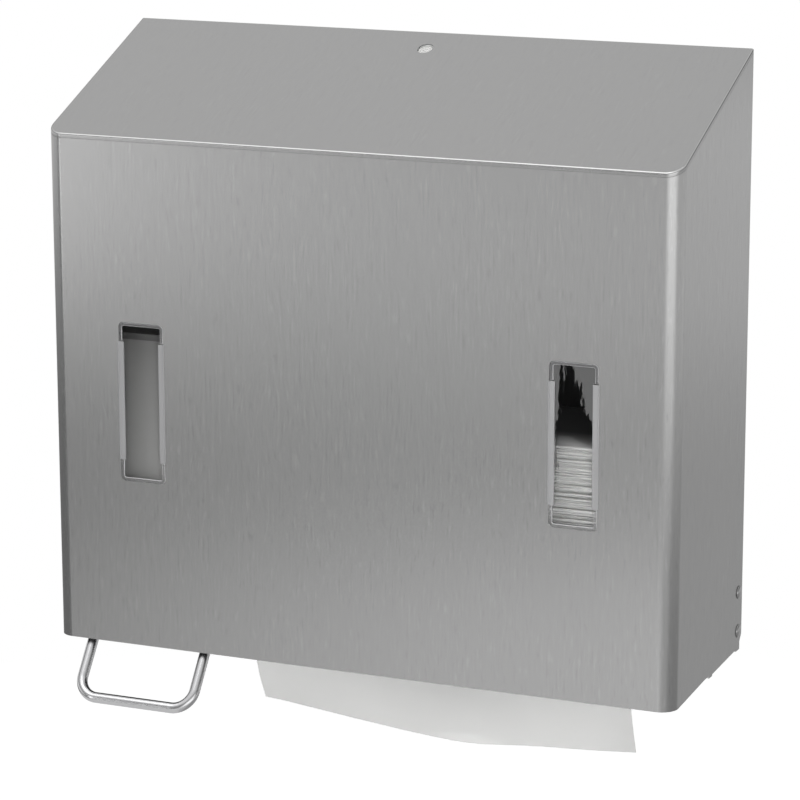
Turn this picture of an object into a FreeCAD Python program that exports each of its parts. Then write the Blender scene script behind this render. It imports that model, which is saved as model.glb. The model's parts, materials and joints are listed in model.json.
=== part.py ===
"""Towel and soap dispenser combo: a wall plate with tank, pump and towel tray, and a hood that tips open.

Millimetres. +X is to the right seen from the room, -Y points into the room, +Z is up. The sizes are
worked out with z = 0 at the hood's front lower edge and y = 0 on the wall. save() then moves every
piece so that the origin is the middle of the four wall holes, on the wall.
"""
import FreeCAD, Part
import math
import os

Vector = FreeCAD.Vector

# Hood
hood_width = 417.0
hood_depth = 134.0
front_height = 326.0
back_height = 383.0
sheet = 1.0
bend_radius = 10.8
wall_gap = 0.5
lip_height = 2.4
lip_round = 0.8
seam = 0.4
skirt_height = 12.0
side_rise_start = 123.0
side_rise_end = 73.0
side_rise = 3.3
notch_front = 64.2
notch_height = 1.6
flange_front = 58.0
flange_rear = 11.0
flange_width = 4.0
flange_low = 1.3
flange_high = 3.5
flange_bend = 2.0
corner_cut_height = 13.5
corner_cut_depth = 4.0
corner_cut_foot = 8.7

# Windows in the hood's front
window_from_side = 64.5
window_low = 107.5
window_high = 209.5
window_width = 31.0
window_round = 3.0
tab_low = 121.0
tab_high = 197.3
tab_width = 3.3
insert_clearance = 0.25
insert_flange = 3.0
insert_flange_thick = 1.2
insert_recess = 0.1
insert_rim = 2.2
insert_dish = 0.8

# Key slot and latch under the sloping top
slot_from_back = 20.5
slot_length = 11.0
slot_width = 6.0
lock_base_thick = 2.5
lock_base_front = 22.0
lock_base_rear = 9.0
lock_base_half = 14.0
cheek_gap = 0.3
cheek_thick = 3.0
cheek_front = 19.0
cheek_rear = 10.0
lock_pivot_ahead = 15.0
lock_pivot_depth = 13.0
latch_pin_radius = 1.5
latch_half = 4.5
latch_eye_radius = 3.6
latch_boss_radius = 4.7
latch_boss_top = 2.6
latch_boss_bottom = 6.0
latch_boss_clearance = 0.5
latch_ring_radius = 3.4
latch_ring_width = 0.7
latch_ring_depth = 0.5
latch_arm_thick = 3.4
latch_nose_thick = 5.6
latch_nose_gap = 0.5
latch_under_lip = 3.0
latch_spring_wire = 0.35
latch_spring_turns = 3
latch_spring_width = 4.4
latch_spring_room = 0.4
latch_spring_gap = 0.35
latch_spring_up = 8.2
latch_spring_out = 6.4
latch_spring_hole = 0.8
lock_stud_half = 11.0
lock_stud_ahead = 16.0
stud_radius = 1.5
stud_clearance = 0.2
lock_nut_across = 5.5
lock_nut_thick = 2.4
lock_stud_proud = 1.2

# Wall plate
plate_low = 4.8
plate_under_top = 21.0
plate_flange = 16.0
plate_bend = 2.0
wall_hole_radius = 3.0
wall_hole_spacing_x = 340.0
wall_hole_spacing_z = 250.0
wall_hole_middle_z = 190.0

# Keeper for the latch
keeper_half_width = 14.0
keeper_thick = 1.2
keeper_height = 22.0
keeper_reach = 12.5
keeper_lip = 5.5
keeper_rivet_half = 8.0
keeper_rivet_above_foot = 7.0

# Hinge at the hood's lower rear corners
pivot_y = -8.0
pivot_z = 9.0
hinge_pin_radius = 2.0
hinge_bush_wall = 1.05
hinge_bush_length = 2.5
hinge_pin_end_gap = 0.2
running_clearance = 0.05
hinge_head_radius = 4.0
hinge_head_thick = 1.4
bracket_thick = 2.0
bracket_end_radius = 4.2
bracket_half_width = 6.0
bracket_top = 48.0
hinge_rivet_y = -7.3
hinge_rivet_heights = (16.3, 41.6)
hinge_rivet_radius = 1.8
hinge_rivet_head = 4.3
hinge_rivet_dome = 1.3
hinge_rivet_tail = 3.1
hinge_rivet_tail_thick = 1.0
rivet_fit = 0.02

# Rivets that fix the inner sheets to the wall plate
pop_radius = 1.6
pop_head_radius = 3.2
pop_head_thick = 0.8
upright_rivet_heights = (110.0, 210.0)
tray_rivet_offsets = (-100.0, 0.0, 100.0)
shelf_rivet_inset = 15.0

# Partition, towel tray and guide
partition_gap = 4.0
inner_sheet = 1.0
partition_low = 12.0
upright_high = 232.0
upright_round = 14.0
partition_front = 118.0
guide_front = 116.0
rear_flange = 14.0
flange_relief = 0.4
tray_z = 13.0
tray_gap = 0.5
tray_ledge = 4.5
inner_side_gap = 4.0
tray_front = 124.0
tray_lip = 12.0
tray_rear_flange = 18.0
exit_slot_front = 101.0
exit_slot_rear = 59.0
exit_slot_left_margin = 1.5
exit_slot_right_margin = 4.0
exit_slot_round = 12.0
guide_from_tray_end = 34.0
guide_gap = 2.5

# Towels
stack_front = 120.0
stack_rear = 22.0
stack_height = 141.0
stack_round = 2.5
stack_seat = 0.3
stack_crown = 3.0
towel_drop = 46.0
towel_thick = 1.2
towel_hang_y = 80.5
towel_bow = 9.0

# Pump
pump_from_tank_side = 51.0
pump_y = -86.0
shelf_z = 76.0
shelf_thick = 1.5
shelf_margin = 2.0
shelf_front = 120.0
shelf_lip = 9.0
shelf_rear_flange = 20.0
body_radius = 13.0
body_low = 40.2
shelf_hole_clearance = 0.3
pump_flange_radius = 19.0
pump_flange_thick = 2.5
chamber_radius = 9.0
chamber_top = 62.0
socket_radius = 8.0
socket_floor = 66.0
throat_hole_radius = 1.2
throat_hole_offset = 4.2
throat_holes = 4
valve_radius = 6.0
valve_thick = 1.0
valve_stem_radius = 1.3
valve_gap = 0.2
ring_nut_radius = 19.0
ring_nut_thick = 6.0
ring_nut_lobes = 12
ring_nut_lobe_radius = 2.0
thread_fit = 0.05
cap_radius = 15.5
cap_low = 37.0
cap_high = 50.0
cap_floor = 3.0
cap_grooves = 16
cap_groove_radius = 1.0
stem_radius = 5.0
stem_clearance = 0.4
head_clearance = 0.3
head_height = 5.6
head_rest = 0.2
seal_low = 2.0
seal_height = 1.8
seal_depth = 1.4
collar_radius = 11.0
collar_z = 28.0
collar_thick = 2.5
stem_low = 8.0
soap_bore_radius = 2.0
tip_radius = 6.0
tip_low = 1.5
tip_high = 12.0
tip_mouth_radius = 1.2
pump_wire = 0.6
pump_coil_radius = 7.4
pump_turns = 6
pump_stroke = 6.5

# Tank
tank_width = 99.0
tank_side_gap = 1.0
tank_front = 122.0
tank_rear = 16.0
tank_wall = 2.0
tank_foot = 3.4
tank_top = 198.0
tank_round = 9.0
tank_bottom_thick = 2.5
spigot_radius = 6.8
spigot_bore = 4.5
spigot_low = 68.0
tank_seal_low = 71.0
tank_seal_height = 2.2
tank_seal_depth = 1.2
lid_thick = 2.2
lid_gap = 0.3
lid_overhang = 1.0
lid_ridge_depth = 4.0
lid_ridge_gap = 0.8
lid_ridge_wall = 1.5
lid_pin_radius = 1.5
lid_pin_y = -20.0
lid_pin_above = 4.2
lid_ear_thick = 5.0
lid_ear_inset = 10.0
lid_ear_radius = 3.4
lid_ear_gap = 0.3
lid_rear_gap = 4.5

# Lever
axle_y = -107.5
axle_z = 22.0
axle_radius = 3.0
axle_bore_clearance = 0.05
rocker_radius = 6.5
rocker_past_arm = 5.8
socket_radius_outer = 5.6
socket_length = 19.0
arm_spacing = 80.0
bow_radius = 3.5
bow_fit = 0.03
bow_start = 8.0
bow_bend = 13.2
bow_lean = 53.9
bow_bar_below = 34.0
set_screw_radius = 1.5
set_screw_at = 14.0
set_screw_head = 2.4
set_screw_head_high = 1.6
fork_gap = 1.5
fork_tine = 5.5
fork_low = 20.0
fork_thick = 4.0
fork_web_rear = 100.0
fork_end = 76.0
fork_pad_radius = 3.0
fork_pad_gap = 0.3
ear_gap = 0.6
ear_thick = 1.5
ear_rear = 101.0
ear_high = 34.0
ear_low = 12.0
lever_base_high = 62.0
lever_stud_half = 30.0
lever_stud_heights = (38.0, 54.0)
lever_stud_radius = 2.0
lever_stud_proud = 2.0
lever_nut_across = 7.0
lever_nut_thick = 3.2
clip_radius = 5.2
clip_thick = 0.8
clip_gap = 0.2
axle_end = 1.2

# Worked out from the sizes above
slope = math.atan2(back_height - front_height, hood_depth)
inner_y = -hood_depth + sheet
inner_x = hood_width / 2 - sheet
window_x = hood_width / 2 - window_from_side
plate_half_width = inner_x - bracket_thick - hinge_bush_length
shelf_left = -plate_half_width + inner_side_gap
tank_left = shelf_left + tank_side_gap
tank_right = tank_left + tank_width
shelf_right = tank_right + shelf_margin
pump_x = tank_left + pump_from_tank_side
partition_left = tank_right + partition_gap
tray_left = partition_left + inner_sheet + tray_gap
tray_right = plate_half_width - inner_side_gap
plate_high = back_height - plate_under_top
keeper_top = plate_high
keeper_foot = keeper_top - keeper_height
keeper_lip_bottom = keeper_top - keeper_lip
keeper_rivet_z = keeper_foot + keeper_rivet_above_foot
guide_left = tray_right - guide_from_tray_end
towel_left = tray_left + tray_ledge + exit_slot_left_margin
towel_right = guide_left - guide_gap
towel_width = towel_right - towel_left
towel_middle_x = (towel_left + towel_right) / 2
tank_base = shelf_z
rocker_half = arm_spacing / 2 + rocker_past_arm
far = 600.0


def box(x0, x1, y0, y1, z0, z1):
    """A box from its limits along X, Y and Z."""
    return Part.makeBox(x1 - x0, y1 - y0, z1 - z0, Vector(x0, y0, z0))


def rod(axis, at, low, high, radius):
    """A round bar along x, y or z; at holds its other two coordinates in X, Y, Z order."""
    if axis == "x":
        return Part.makeCylinder(radius, high - low, Vector(low, at[0], at[1]), Vector(1, 0, 0))
    if axis == "y":
        return Part.makeCylinder(radius, high - low, Vector(at[0], low, at[1]), Vector(0, 1, 0))
    return Part.makeCylinder(radius, high - low, Vector(at[0], at[1], low), Vector(0, 0, 1))


def ring(axis, at, low, high, outer, inner):
    """A round bar with a round bore."""
    return rod(axis, at, low, high, outer).cut(rod(axis, at, low - 1, high + 1, inner))


def fused(first, *others):
    """One solid from overlapping ones, with its needless edges taken out."""
    return first.fuse(list(others)).removeSplitter()


def prism_x(points, x0, x1):
    """A prism along X over a polygon of (y, z) points."""
    loop = [Vector(x0, y, z) for y, z in points]
    face = Part.Face(Part.makePolygon(loop + loop[:1]))
    return face.extrude(Vector(x1 - x0, 0, 0))


def rounded_box(x0, x1, y0, y1, z0, z1, radius, axis="z"):
    """A box whose four edges along one axis are rounded."""
    solid = box(x0, x1, y0, y1, z0, z1)
    along = {"x": Vector(1, 0, 0), "y": Vector(0, 1, 0), "z": Vector(0, 0, 1)}[axis]
    edges = [e for e in solid.Edges if abs(abs(e.tangentAt(e.FirstParameter).dot(along)) - 1) < 1e-6]
    return solid.makeFillet(radius, edges)


def hex_nut(axis, at, low, high, across, bore):
    """A hexagon nut with a plain bore."""
    corner = across / math.sqrt(3)
    points = [(corner * math.cos(math.radians(60 * i)), corner * math.sin(math.radians(60 * i))) for i in range(6)]
    if axis == "y":
        loop = [Vector(at[0] + a, low, at[1] + b) for a, b in points]
        push = Vector(0, high - low, 0)
    else:
        loop = [Vector(at[0] + a, at[1] + b, low) for a, b in points]
        push = Vector(0, 0, high - low)
    nut = Part.Face(Part.makePolygon(loop + loop[:1])).extrude(push)
    return nut.cut(rod(axis, at, low - 1, high + 1, bore))


def biarc(start, start_way, end, end_way):
    """Two arcs that leave start along start_way, meet smoothly and reach end along end_way."""
    reach = end - start
    ways = start_way + end_way
    a = ways.dot(ways) - 4
    b = reach.dot(ways)
    c = reach.dot(reach)
    arm = c / (2 * b) if abs(a) < 1e-9 else (b - math.sqrt(b * b - a * c)) / a
    arm = abs(arm)
    first = start + start_way * arm
    second = end - end_way * arm
    joint = (first + second) * 0.5
    arcs = []
    for low, corner, high in ((start, first, joint), (joint, second, end)):
        weight = high.distanceToPoint(low) / (2 * arm)
        middle = (low + corner * (2 * weight) + high) * (1 / (2 + 2 * weight))
        arcs.append(Part.Arc(low, middle, high).toShape())
    return arcs


def helix(radius, quarters, rise, first):
    """Quarter-turn arcs of a helix along Z from z = 0; first is the starting angle in quarter turns."""
    arcs = []

    def at(i):
        angle = math.pi / 2 * (first + i)
        place = Vector(radius * math.cos(angle), radius * math.sin(angle), rise * i)
        way = Vector(-radius * math.sin(angle), radius * math.cos(angle), rise * 2 / math.pi)
        return place, way.normalize()

    for i in range(quarters):
        start, start_way = at(i)
        end, end_way = at(i + 1)
        arcs += biarc(start, start_way, end, end_way)
    return arcs, at(0), at(quarters)


def tube(edges, wire):
    """One unbroken round tube along joined edges."""
    first = edges[0]
    start = first.valueAt(first.FirstParameter)
    section = Part.Wire(Part.makeCircle(wire, start, first.tangentAt(first.FirstParameter)))
    return Part.Wire(edges).makePipeShell([section], True, False)


def coil(radius, wire, turns, length):
    """A round-wire helix along Z from z = 0, as one tube on quarter-turn arcs."""
    arcs, _, _ = helix(radius, 4 * turns, length / (4 * turns), 0)
    print("least gap in the coil", round(length / turns - 2 * wire, 3))
    return tube(arcs, wire)


def on_slope(solid, along=0.0):
    """Moves a solid from the slot's own frame (along Y up the slope, Z outwards) onto the top."""
    at = Vector(0, -along * math.cos(slope), back_height - along * math.sin(slope))
    solid.Placement = FreeCAD.Placement(at, FreeCAD.Rotation(Vector(1, 0, 0), math.degrees(slope)))
    return solid


def slope_point(ahead, depth):
    """World (y, z) of a point ahead of the key slot's middle, down the slope, and so deep under the top."""
    along = slot_from_back + ahead
    y = -along * math.cos(slope) + depth * math.sin(slope)
    z = back_height - along * math.sin(slope) - depth * math.cos(slope)
    return y, z


def slab(low, high):
    """The space between two planes parallel to the sloping top, measured outwards from it."""
    return on_slope(box(-far, far, -far, far, low, high))


def outline(inset):
    """A tall prism over the hood's plan, inset on the front and sides; it runs on past the wall."""
    half = hood_width / 2 - inset
    front = -hood_depth + inset
    solid = box(-half, half, front, far, -far / 2, back_height + far / 2)
    edges = [e for e in solid.Edges if abs(e.BoundBox.YMax - front) < 1e-6 and e.BoundBox.ZLength > far]
    return solid.makeFillet(bend_radius - inset, edges)


def room_side():
    """Everything on the room's side of the hood's rear edges."""
    return box(-far, far, -far, -wall_gap, -far / 2, back_height + far)


def window_shape(middle, y0, y1, inset):
    """The window opening: full width at both ends and narrower between the side tabs."""
    half = window_width / 2 - inset
    low = window_low + inset
    high = window_high - inset
    radius = window_round - inset
    full = rounded_box(middle - half, middle + half, y0, y1, low, high, radius, "y")
    for side in (-1, 1):
        edge = middle + side * (window_width / 2 - tab_width - inset)
        outer = middle + side * window_width
        full = full.cut(box(min(edge, outer), max(edge, outer), y0, y1, tab_low - inset, tab_high + inset))
    return full


def lever_stud_places():
    """Where the four studs for the lever bracket stand, as (x, z)."""
    return [(pump_x + side * lever_stud_half, z) for side in (-1, 1) for z in lever_stud_heights]


def make_hood_shell():
    """Front and both sides from one sheet, with two vertical bends and turned-in bottom flanges."""
    shell = outline(0).cut(outline(sheet)).common(room_side())
    shell = shell.common(box(-far, far, -far, far, 0, far))
    shell = shell.cut(slab(-lip_height - seam, far))
    under = [
        (-side_rise_start, -1.0), (-side_rise_start, 0.0), (-side_rise_end, side_rise),
        (-notch_front, side_rise), (-notch_front, notch_height), (-flange_front, notch_height),
        (-flange_front, flange_low + flange_bend), (-flange_rear, flange_high + flange_bend),
        (-flange_rear, flange_high), (-corner_cut_depth, flange_high), (-corner_cut_depth, corner_cut_foot),
        (0.0, corner_cut_height), (10.0, corner_cut_height), (10.0, -1.0),
    ]
    shell = shell.cut(prism_x(under, -far, far))
    shell = shell.fuse([side_flange(side) for side in (-1, 1)])
    for x, z in lever_stud_places():
        proud = ear_thick + lever_nut_thick + lever_stud_proud
        shell = shell.fuse(rod("y", (x, z), inner_y - sheet / 2, inner_y + proud, lever_stud_radius))
    for middle in (-window_x, window_x):
        shell = shell.cut(window_shape(middle, -hood_depth - 1, inner_y + 1, 0))
    for z in hinge_rivet_heights:
        shell = shell.cut(rod("x", (hinge_rivet_y, z), -far, far, hinge_rivet_radius + rivet_fit))
    return shell.removeSplitter()


def side_flange(side):
    """The turned-in strip along the rear of one side's lower edge."""
    outer = side * hood_width / 2
    bend = flange_bend
    turn = bend * (1 - math.sqrt(0.5))
    inner_turn = sheet + (bend - sheet) * (1 - math.sqrt(0.5))
    y = -flange_front
    low = flange_low

    def at(inward, up):
        return Vector(outer - side * inward, y, low + up)

    edges = [
        Part.Arc(at(0, bend), at(turn, turn), at(bend, 0)).toShape(),
        Part.makeLine(at(bend, 0), at(flange_width + sheet, 0)),
        Part.makeLine(at(flange_width + sheet, 0), at(flange_width + sheet, sheet)),
        Part.makeLine(at(flange_width + sheet, sheet), at(bend, sheet)),
        Part.Arc(at(bend, sheet), at(inner_turn, inner_turn), at(sheet, bend)).toShape(),
        Part.makeLine(at(sheet, bend), at(0, bend)),
    ]
    run = flange_front - flange_rear
    return Part.Face(Part.Wire(edges)).extrude(Vector(0, run, flange_high - flange_low))


def make_hood_top():
    """The sloping plate with its narrow lip, the skirt inside the shell and the key slot."""
    plate = outline(0).common(slab(-sheet, 0))
    lip = outline(0).cut(outline(sheet)).common(slab(-lip_height, 0))
    skirt = outline(sheet).cut(outline(2 * sheet)).common(slab(-skirt_height, -sheet / 2))
    top = plate.fuse([lip, skirt]).common(room_side()).removeSplitter()
    surface = [f for f in top.Faces if slope_height(f.CenterOfMass) > -1e-3 and f.Area > 1000][0]
    rear = -wall_gap
    edges = [e for e in surface.Edges if e.BoundBox.YMin < rear - 1e-3]
    top = top.makeFillet(lip_round, edges)
    half = slot_width / 2
    straight = slot_length / 2 - half
    slot = box(-half, half, -straight, straight, -far / 10, far / 10)
    slot = slot.fuse([rod("z", (0, s * straight), -far / 10, far / 10, half) for s in (-1, 1)])
    top = top.cut(on_slope(slot, slot_from_back))
    for side in (-1, 1):
        at = (side * lock_stud_half, -lock_stud_ahead)
        low = -sheet - lock_base_thick - lock_nut_thick - lock_stud_proud
        top = top.fuse(on_slope(rod("z", at, low, -sheet / 2, stud_radius), slot_from_back))
    return top.removeSplitter()


def slope_height(point):
    """How far a point lies outwards of the sloping top."""
    return point.y * -math.sin(slope) + (point.z - back_height) * math.cos(slope)


def make_window(middle):
    """A clear insert: a flange behind the sheet and a raised face that fills the opening."""
    face_y = -hood_depth + insert_recess
    back_y = inner_y + insert_flange_thick
    out = insert_flange
    half = window_width / 2 + out
    flange = rounded_box(middle - half, middle + half, inner_y, back_y, window_low - out, window_high + out,
                         window_round + out, "y")
    pad = window_shape(middle, face_y, inner_y + insert_flange_thick / 2, insert_clearance)
    inset = tab_width + insert_rim
    inner = window_width / 2 - inset
    dish = rounded_box(middle - inner, middle + inner, back_y - insert_dish, back_y + 1,
                       window_low + inset, window_high - inset, window_round / 2, "y")
    return fused(flange, pad).cut(dish)


def make_hinge_bracket(side):
    """A plate riveted inside the hood's side, which turns on the hinge pin."""
    x0, x1 = sorted((side * inner_x, side * (inner_x - bracket_thick)))
    y1 = pivot_y + bracket_half_width - 1
    plate = box(x0, x1, pivot_y - bracket_half_width, y1, pivot_z + bracket_end_radius, bracket_top)
    neck = box(x0, x1, pivot_y - bracket_end_radius, pivot_y + bracket_end_radius, pivot_z, bracket_top)
    end = rod("x", (pivot_y, pivot_z), x0, x1, bracket_end_radius)
    bracket = fused(plate, neck, end)
    holes = [rod("x", (hinge_rivet_y, z), x0 - 1, x1 + 1, hinge_rivet_radius + rivet_fit)
             for z in hinge_rivet_heights]
    pin_hole = rod("x", (pivot_y, pivot_z), x0 - 1, x1 + 1, hinge_pin_radius + running_clearance)
    return bracket.cut(holes + [pin_hole])


def make_hinge_rivets():
    """Four rivets with low domed heads outside and flat tails inside."""
    rivets = []
    for side in (-1, 1):
        for z in hinge_rivet_heights:
            outer = side * hood_width / 2
            inner = side * (inner_x - bracket_thick)
            x0, x1 = sorted((outer, inner))
            shank = rod("x", (hinge_rivet_y, z), x0, x1, hinge_rivet_radius)
            ball = (hinge_rivet_head ** 2 + hinge_rivet_dome ** 2) / (2 * hinge_rivet_dome)
            centre = Vector(outer + side * (hinge_rivet_dome - ball), hinge_rivet_y, z)
            h0, h1 = sorted((outer, outer + side * 2 * hinge_rivet_dome))
            head = Part.makeSphere(ball, centre).common(rod("x", (hinge_rivet_y, z), h0, h1, ball))
            t0, t1 = sorted((inner, inner - side * hinge_rivet_tail_thick))
            tail = rod("x", (hinge_rivet_y, z), t0, t1, hinge_rivet_tail)
            rivets.append(fused(shank, head, tail))
    return Part.makeCompound(rivets)


def make_hinge_pins():
    """Two pins through the wall plate's side flanges, with their heads inside."""
    pins = []
    for side in (-1, 1):
        flange_inner = side * (plate_half_width - sheet)
        end = side * (inner_x - hinge_pin_end_gap)
        x0, x1 = sorted((flange_inner, end))
        shank = rod("x", (pivot_y, pivot_z), x0, x1, hinge_pin_radius)
        h0, h1 = sorted((flange_inner, flange_inner - side * hinge_head_thick))
        head = rod("x", (pivot_y, pivot_z), h0, h1, hinge_head_radius)
        pins.append(fused(shank, head))
    return Part.makeCompound(pins)


def make_hinge_bushes():
    """Two plastic bushes on the hinge pins, between the wall plate and the hood's brackets."""
    bushes = []
    for side in (-1, 1):
        x0, x1 = sorted((side * plate_half_width, side * (inner_x - bracket_thick - running_clearance)))
        bore = hinge_pin_radius + rivet_fit
        bushes.append(ring("x", (pivot_y, pivot_z), x0, x1, hinge_pin_radius + hinge_bush_wall, bore))
    return Part.makeCompound(bushes)


def wall_hole_places():
    """The four wall holes as (x, z)."""
    return [(sx * wall_hole_spacing_x / 2, wall_hole_middle_z + sz * wall_hole_spacing_z / 2)
            for sx in (-1, 1) for sz in (-1, 1)]


def pop_places():
    """Rivets through the wall plate, as (x, z, thickness of the sheet that each one holds)."""
    tray_rivet_z = tray_z + tray_rear_flange / 2
    shelf_rivet_z = shelf_z - shelf_rear_flange / 2
    partition_rivet_x = partition_left - rear_flange / 2
    guide_rivet_x = guide_left + inner_sheet + rear_flange / 2
    places = [(x, z, inner_sheet) for x in (partition_rivet_x, guide_rivet_x) for z in upright_rivet_heights]
    places += [(towel_middle_x + offset, tray_rivet_z, inner_sheet) for offset in tray_rivet_offsets]
    places += [(shelf_left + shelf_rivet_inset, shelf_rivet_z, shelf_thick),
               (shelf_right - shelf_rivet_inset, shelf_rivet_z, shelf_thick)]
    return places


def make_back_plate():
    """The folded wall plate with its side flanges, wall holes and rivet holes."""
    w = plate_half_width
    outer = box(-w, w, -plate_flange, 0, plate_low, plate_high)
    edges = [e for e in outer.Edges if abs(e.BoundBox.YMin) < 1e-6 and e.BoundBox.ZLength > plate_high / 2]
    outer = outer.makeFillet(plate_bend, edges)
    t = sheet
    inner = box(-w + t, w - t, -plate_flange - 1, -t, plate_low - 1, plate_high + 1)
    edges = [e for e in inner.Edges if abs(e.BoundBox.YMin + t) < 1e-6 and e.BoundBox.ZLength > plate_high / 2]
    inner = inner.makeFillet(plate_bend - t, edges)
    plate = outer.cut(inner)
    for x, z in wall_hole_places():
        plate = plate.cut(rod("y", (x, z), -far, far, wall_hole_radius))
    for x, z, _ in pop_places():
        plate = plate.cut(rod("y", (x, z), -far, far, pop_radius + rivet_fit))
    for side in (-1, 1):
        plate = plate.cut(rod("y", (side * keeper_rivet_half, keeper_rivet_z), -far, far, pop_radius + rivet_fit))
    return plate.cut(rod("x", (pivot_y, pivot_z), -far, far, hinge_pin_radius + rivet_fit))


def make_keeper():
    """A bent strip: foot on the wall plate, tab forward and lip down, which the latch hooks behind."""
    k = keeper_half_width
    t = keeper_thick
    foot = box(-k, k, -sheet - t, -sheet, keeper_foot, keeper_top)
    tab = box(-k, k, -keeper_reach, -sheet, keeper_top - t, keeper_top)
    lip = box(-k, k, -keeper_reach, -keeper_reach + t, keeper_lip_bottom, keeper_top)
    keeper = fused(foot, tab, lip)
    holes = [rod("y", (s * keeper_rivet_half, keeper_rivet_z), -far, far, pop_radius + rivet_fit) for s in (-1, 1)]
    return keeper.cut(holes)


def pop_rivet(x, z, thick):
    """A rivet along Y through the wall plate and one sheet of the given thickness."""
    front = -sheet - thick
    shank = rod("y", (x, z), front, -rivet_fit, pop_radius)
    head = rod("y", (x, z), front - pop_head_thick, front, pop_head_radius)
    return fused(shank, head)


def make_keeper_rivets():
    """Two rivets that fix the keeper."""
    return Part.makeCompound([pop_rivet(s * keeper_rivet_half, keeper_rivet_z, keeper_thick) for s in (-1, 1)])


def make_frame_rivets():
    """Rivets that fix the partition, guide, tray and shelf."""
    return Part.makeCompound([pop_rivet(x, z, thick) for x, z, thick in pop_places()])


def make_upright(face_x, front, low, flange_side, flange_low):
    """A vertical sheet with a rear flange turned to one side on its upper part."""
    t = inner_sheet
    x0, x1 = face_x, face_x + t
    wall = box(x0, x1, -front, -sheet - t - flange_relief, low, upright_high)
    if flange_side < 0:
        flange = box(x0 - rear_flange, x1, -sheet - t, -sheet, flange_low, upright_high)
    else:
        flange = box(x0, x1 + rear_flange, -sheet - t, -sheet, flange_low, upright_high)
    root = box(x0, x1, -front, -sheet, flange_low, upright_high)
    upright = fused(wall, root, flange)
    for x, z, _ in pop_places():
        upright = upright.cut(rod("y", (x, z), -sheet - t - 1, 0, pop_radius + rivet_fit))
    corner = [e for e in upright.Edges if abs(e.BoundBox.YMax + front) < 1e-6 and e.BoundBox.XLength > 0
              and abs(e.BoundBox.ZMin - upright_high) < 1e-6]
    return upright.makeFillet(upright_round, corner)


def make_tray():
    """The towel tray: floor with the exit slot, upturned front lip, right wall and rear flange."""
    t = inner_sheet
    low = tray_z - t
    floor = box(tray_left, tray_right, -tray_front, -sheet, low, tray_z)
    lip = box(tray_left, tray_right, -tray_front, -tray_front + t, low, tray_z + tray_lip)
    wall = box(tray_right - t, tray_right, -tray_front, -sheet, low, tray_z + tray_lip)
    rear = box(tray_left, tray_right, -sheet - t, -sheet, low, tray_z + tray_rear_flange)
    tray = fused(floor, lip, wall, rear)
    slot_left = towel_left - exit_slot_left_margin
    slot_right = towel_right + exit_slot_right_margin
    slot = rounded_box(slot_left, slot_right, -exit_slot_front, -exit_slot_rear,
                       low - 1, tray_z + 1, exit_slot_round)
    tray = tray.cut(slot)
    for x, z, _ in pop_places():
        tray = tray.cut(rod("y", (x, z), -sheet - t - 1, 0, pop_radius + rivet_fit))
    return tray.removeSplitter()


def make_towel_stack():
    """The folded towels: a block with rounded fold edges and a slightly crowned top."""
    low = tray_z + stack_seat
    x0 = towel_left
    front, rear, top = -stack_front, -stack_rear, low + stack_height
    edges = [
        Part.makeLine(Vector(x0, front, low), Vector(x0, rear, low)),
        Part.makeLine(Vector(x0, rear, low), Vector(x0, rear, top)),
        Part.Arc(Vector(x0, rear, top), Vector(x0, (front + rear) / 2, top + stack_crown),
                 Vector(x0, front, top)).toShape(),
        Part.makeLine(Vector(x0, front, top), Vector(x0, front, low)),
    ]
    block = Part.Face(Part.Wire(edges)).extrude(Vector(towel_width, 0, 0))
    upright = [e for e in block.Edges if e.BoundBox.XLength > 1]
    return block.makeFillet(stack_round, upright)


def make_hanging_towel():
    """The towel that hangs out of the exit slot: a thin sheet that bows forward in the middle."""
    half = towel_width / 2
    top = tray_z
    stations = [(-1.0, 0.0, -40.0), (-0.4, 0.65, -44.5), (0.2, 1.0, -46.0), (0.65, 0.6, -45.5), (1.0, 0.0, -45.0)]
    drop = towel_drop / 46.0
    sections = []
    for share, bow, low in stations:
        x = towel_middle_x + share * half + (3.0 if share > 0.9 else 0.0)
        foot = low * drop
        y_top = -towel_hang_y
        y_foot = -towel_hang_y - towel_bow * bow
        y_mid = (y_top + y_foot) / 2 + 2.5 * bow
        z_mid = (top + foot) / 2
        t = towel_thick
        edges = [
            Part.Arc(Vector(x, y_top, top), Vector(x, y_mid, z_mid), Vector(x, y_foot - 0.01, foot)).toShape(),
            Part.makeLine(Vector(x, y_foot - 0.01, foot), Vector(x, y_foot - 0.01 + t, foot)),
            Part.Arc(Vector(x, y_foot - 0.01 + t, foot), Vector(x, y_mid + t, z_mid), Vector(x, y_top + t, top)).toShape(),
            Part.makeLine(Vector(x, y_top + t, top), Vector(x, y_top, top)),
        ]
        sections.append(Part.Wire(edges))
    return Part.makeLoft(sections, True, True)


def make_shelf():
    """The sheet shelf for pump and tank, with a hole for the pump and turned-down edges."""
    t = shelf_thick
    low = shelf_z - t
    deck = box(shelf_left, shelf_right, -shelf_front, -sheet, low, shelf_z)
    front = box(shelf_left, shelf_right, -shelf_front, -shelf_front + t, shelf_z - shelf_lip, shelf_z)
    rear = box(shelf_left, shelf_right, -sheet - t, -sheet, shelf_z - shelf_rear_flange, shelf_z)
    sides = [box(x, x + t, -shelf_front, -sheet, shelf_z - shelf_lip, shelf_z) for x in (shelf_left, shelf_right - t)]
    shelf = fused(deck, front, rear, *sides)
    shelf = shelf.cut(rod("z", (pump_x, pump_y), low - 1, shelf_z + 1, body_radius + shelf_hole_clearance))
    for x, z, _ in pop_places():
        shelf = shelf.cut(rod("y", (x, z), -sheet - t - 1, 0, pop_radius + rivet_fit))
    return shelf


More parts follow.
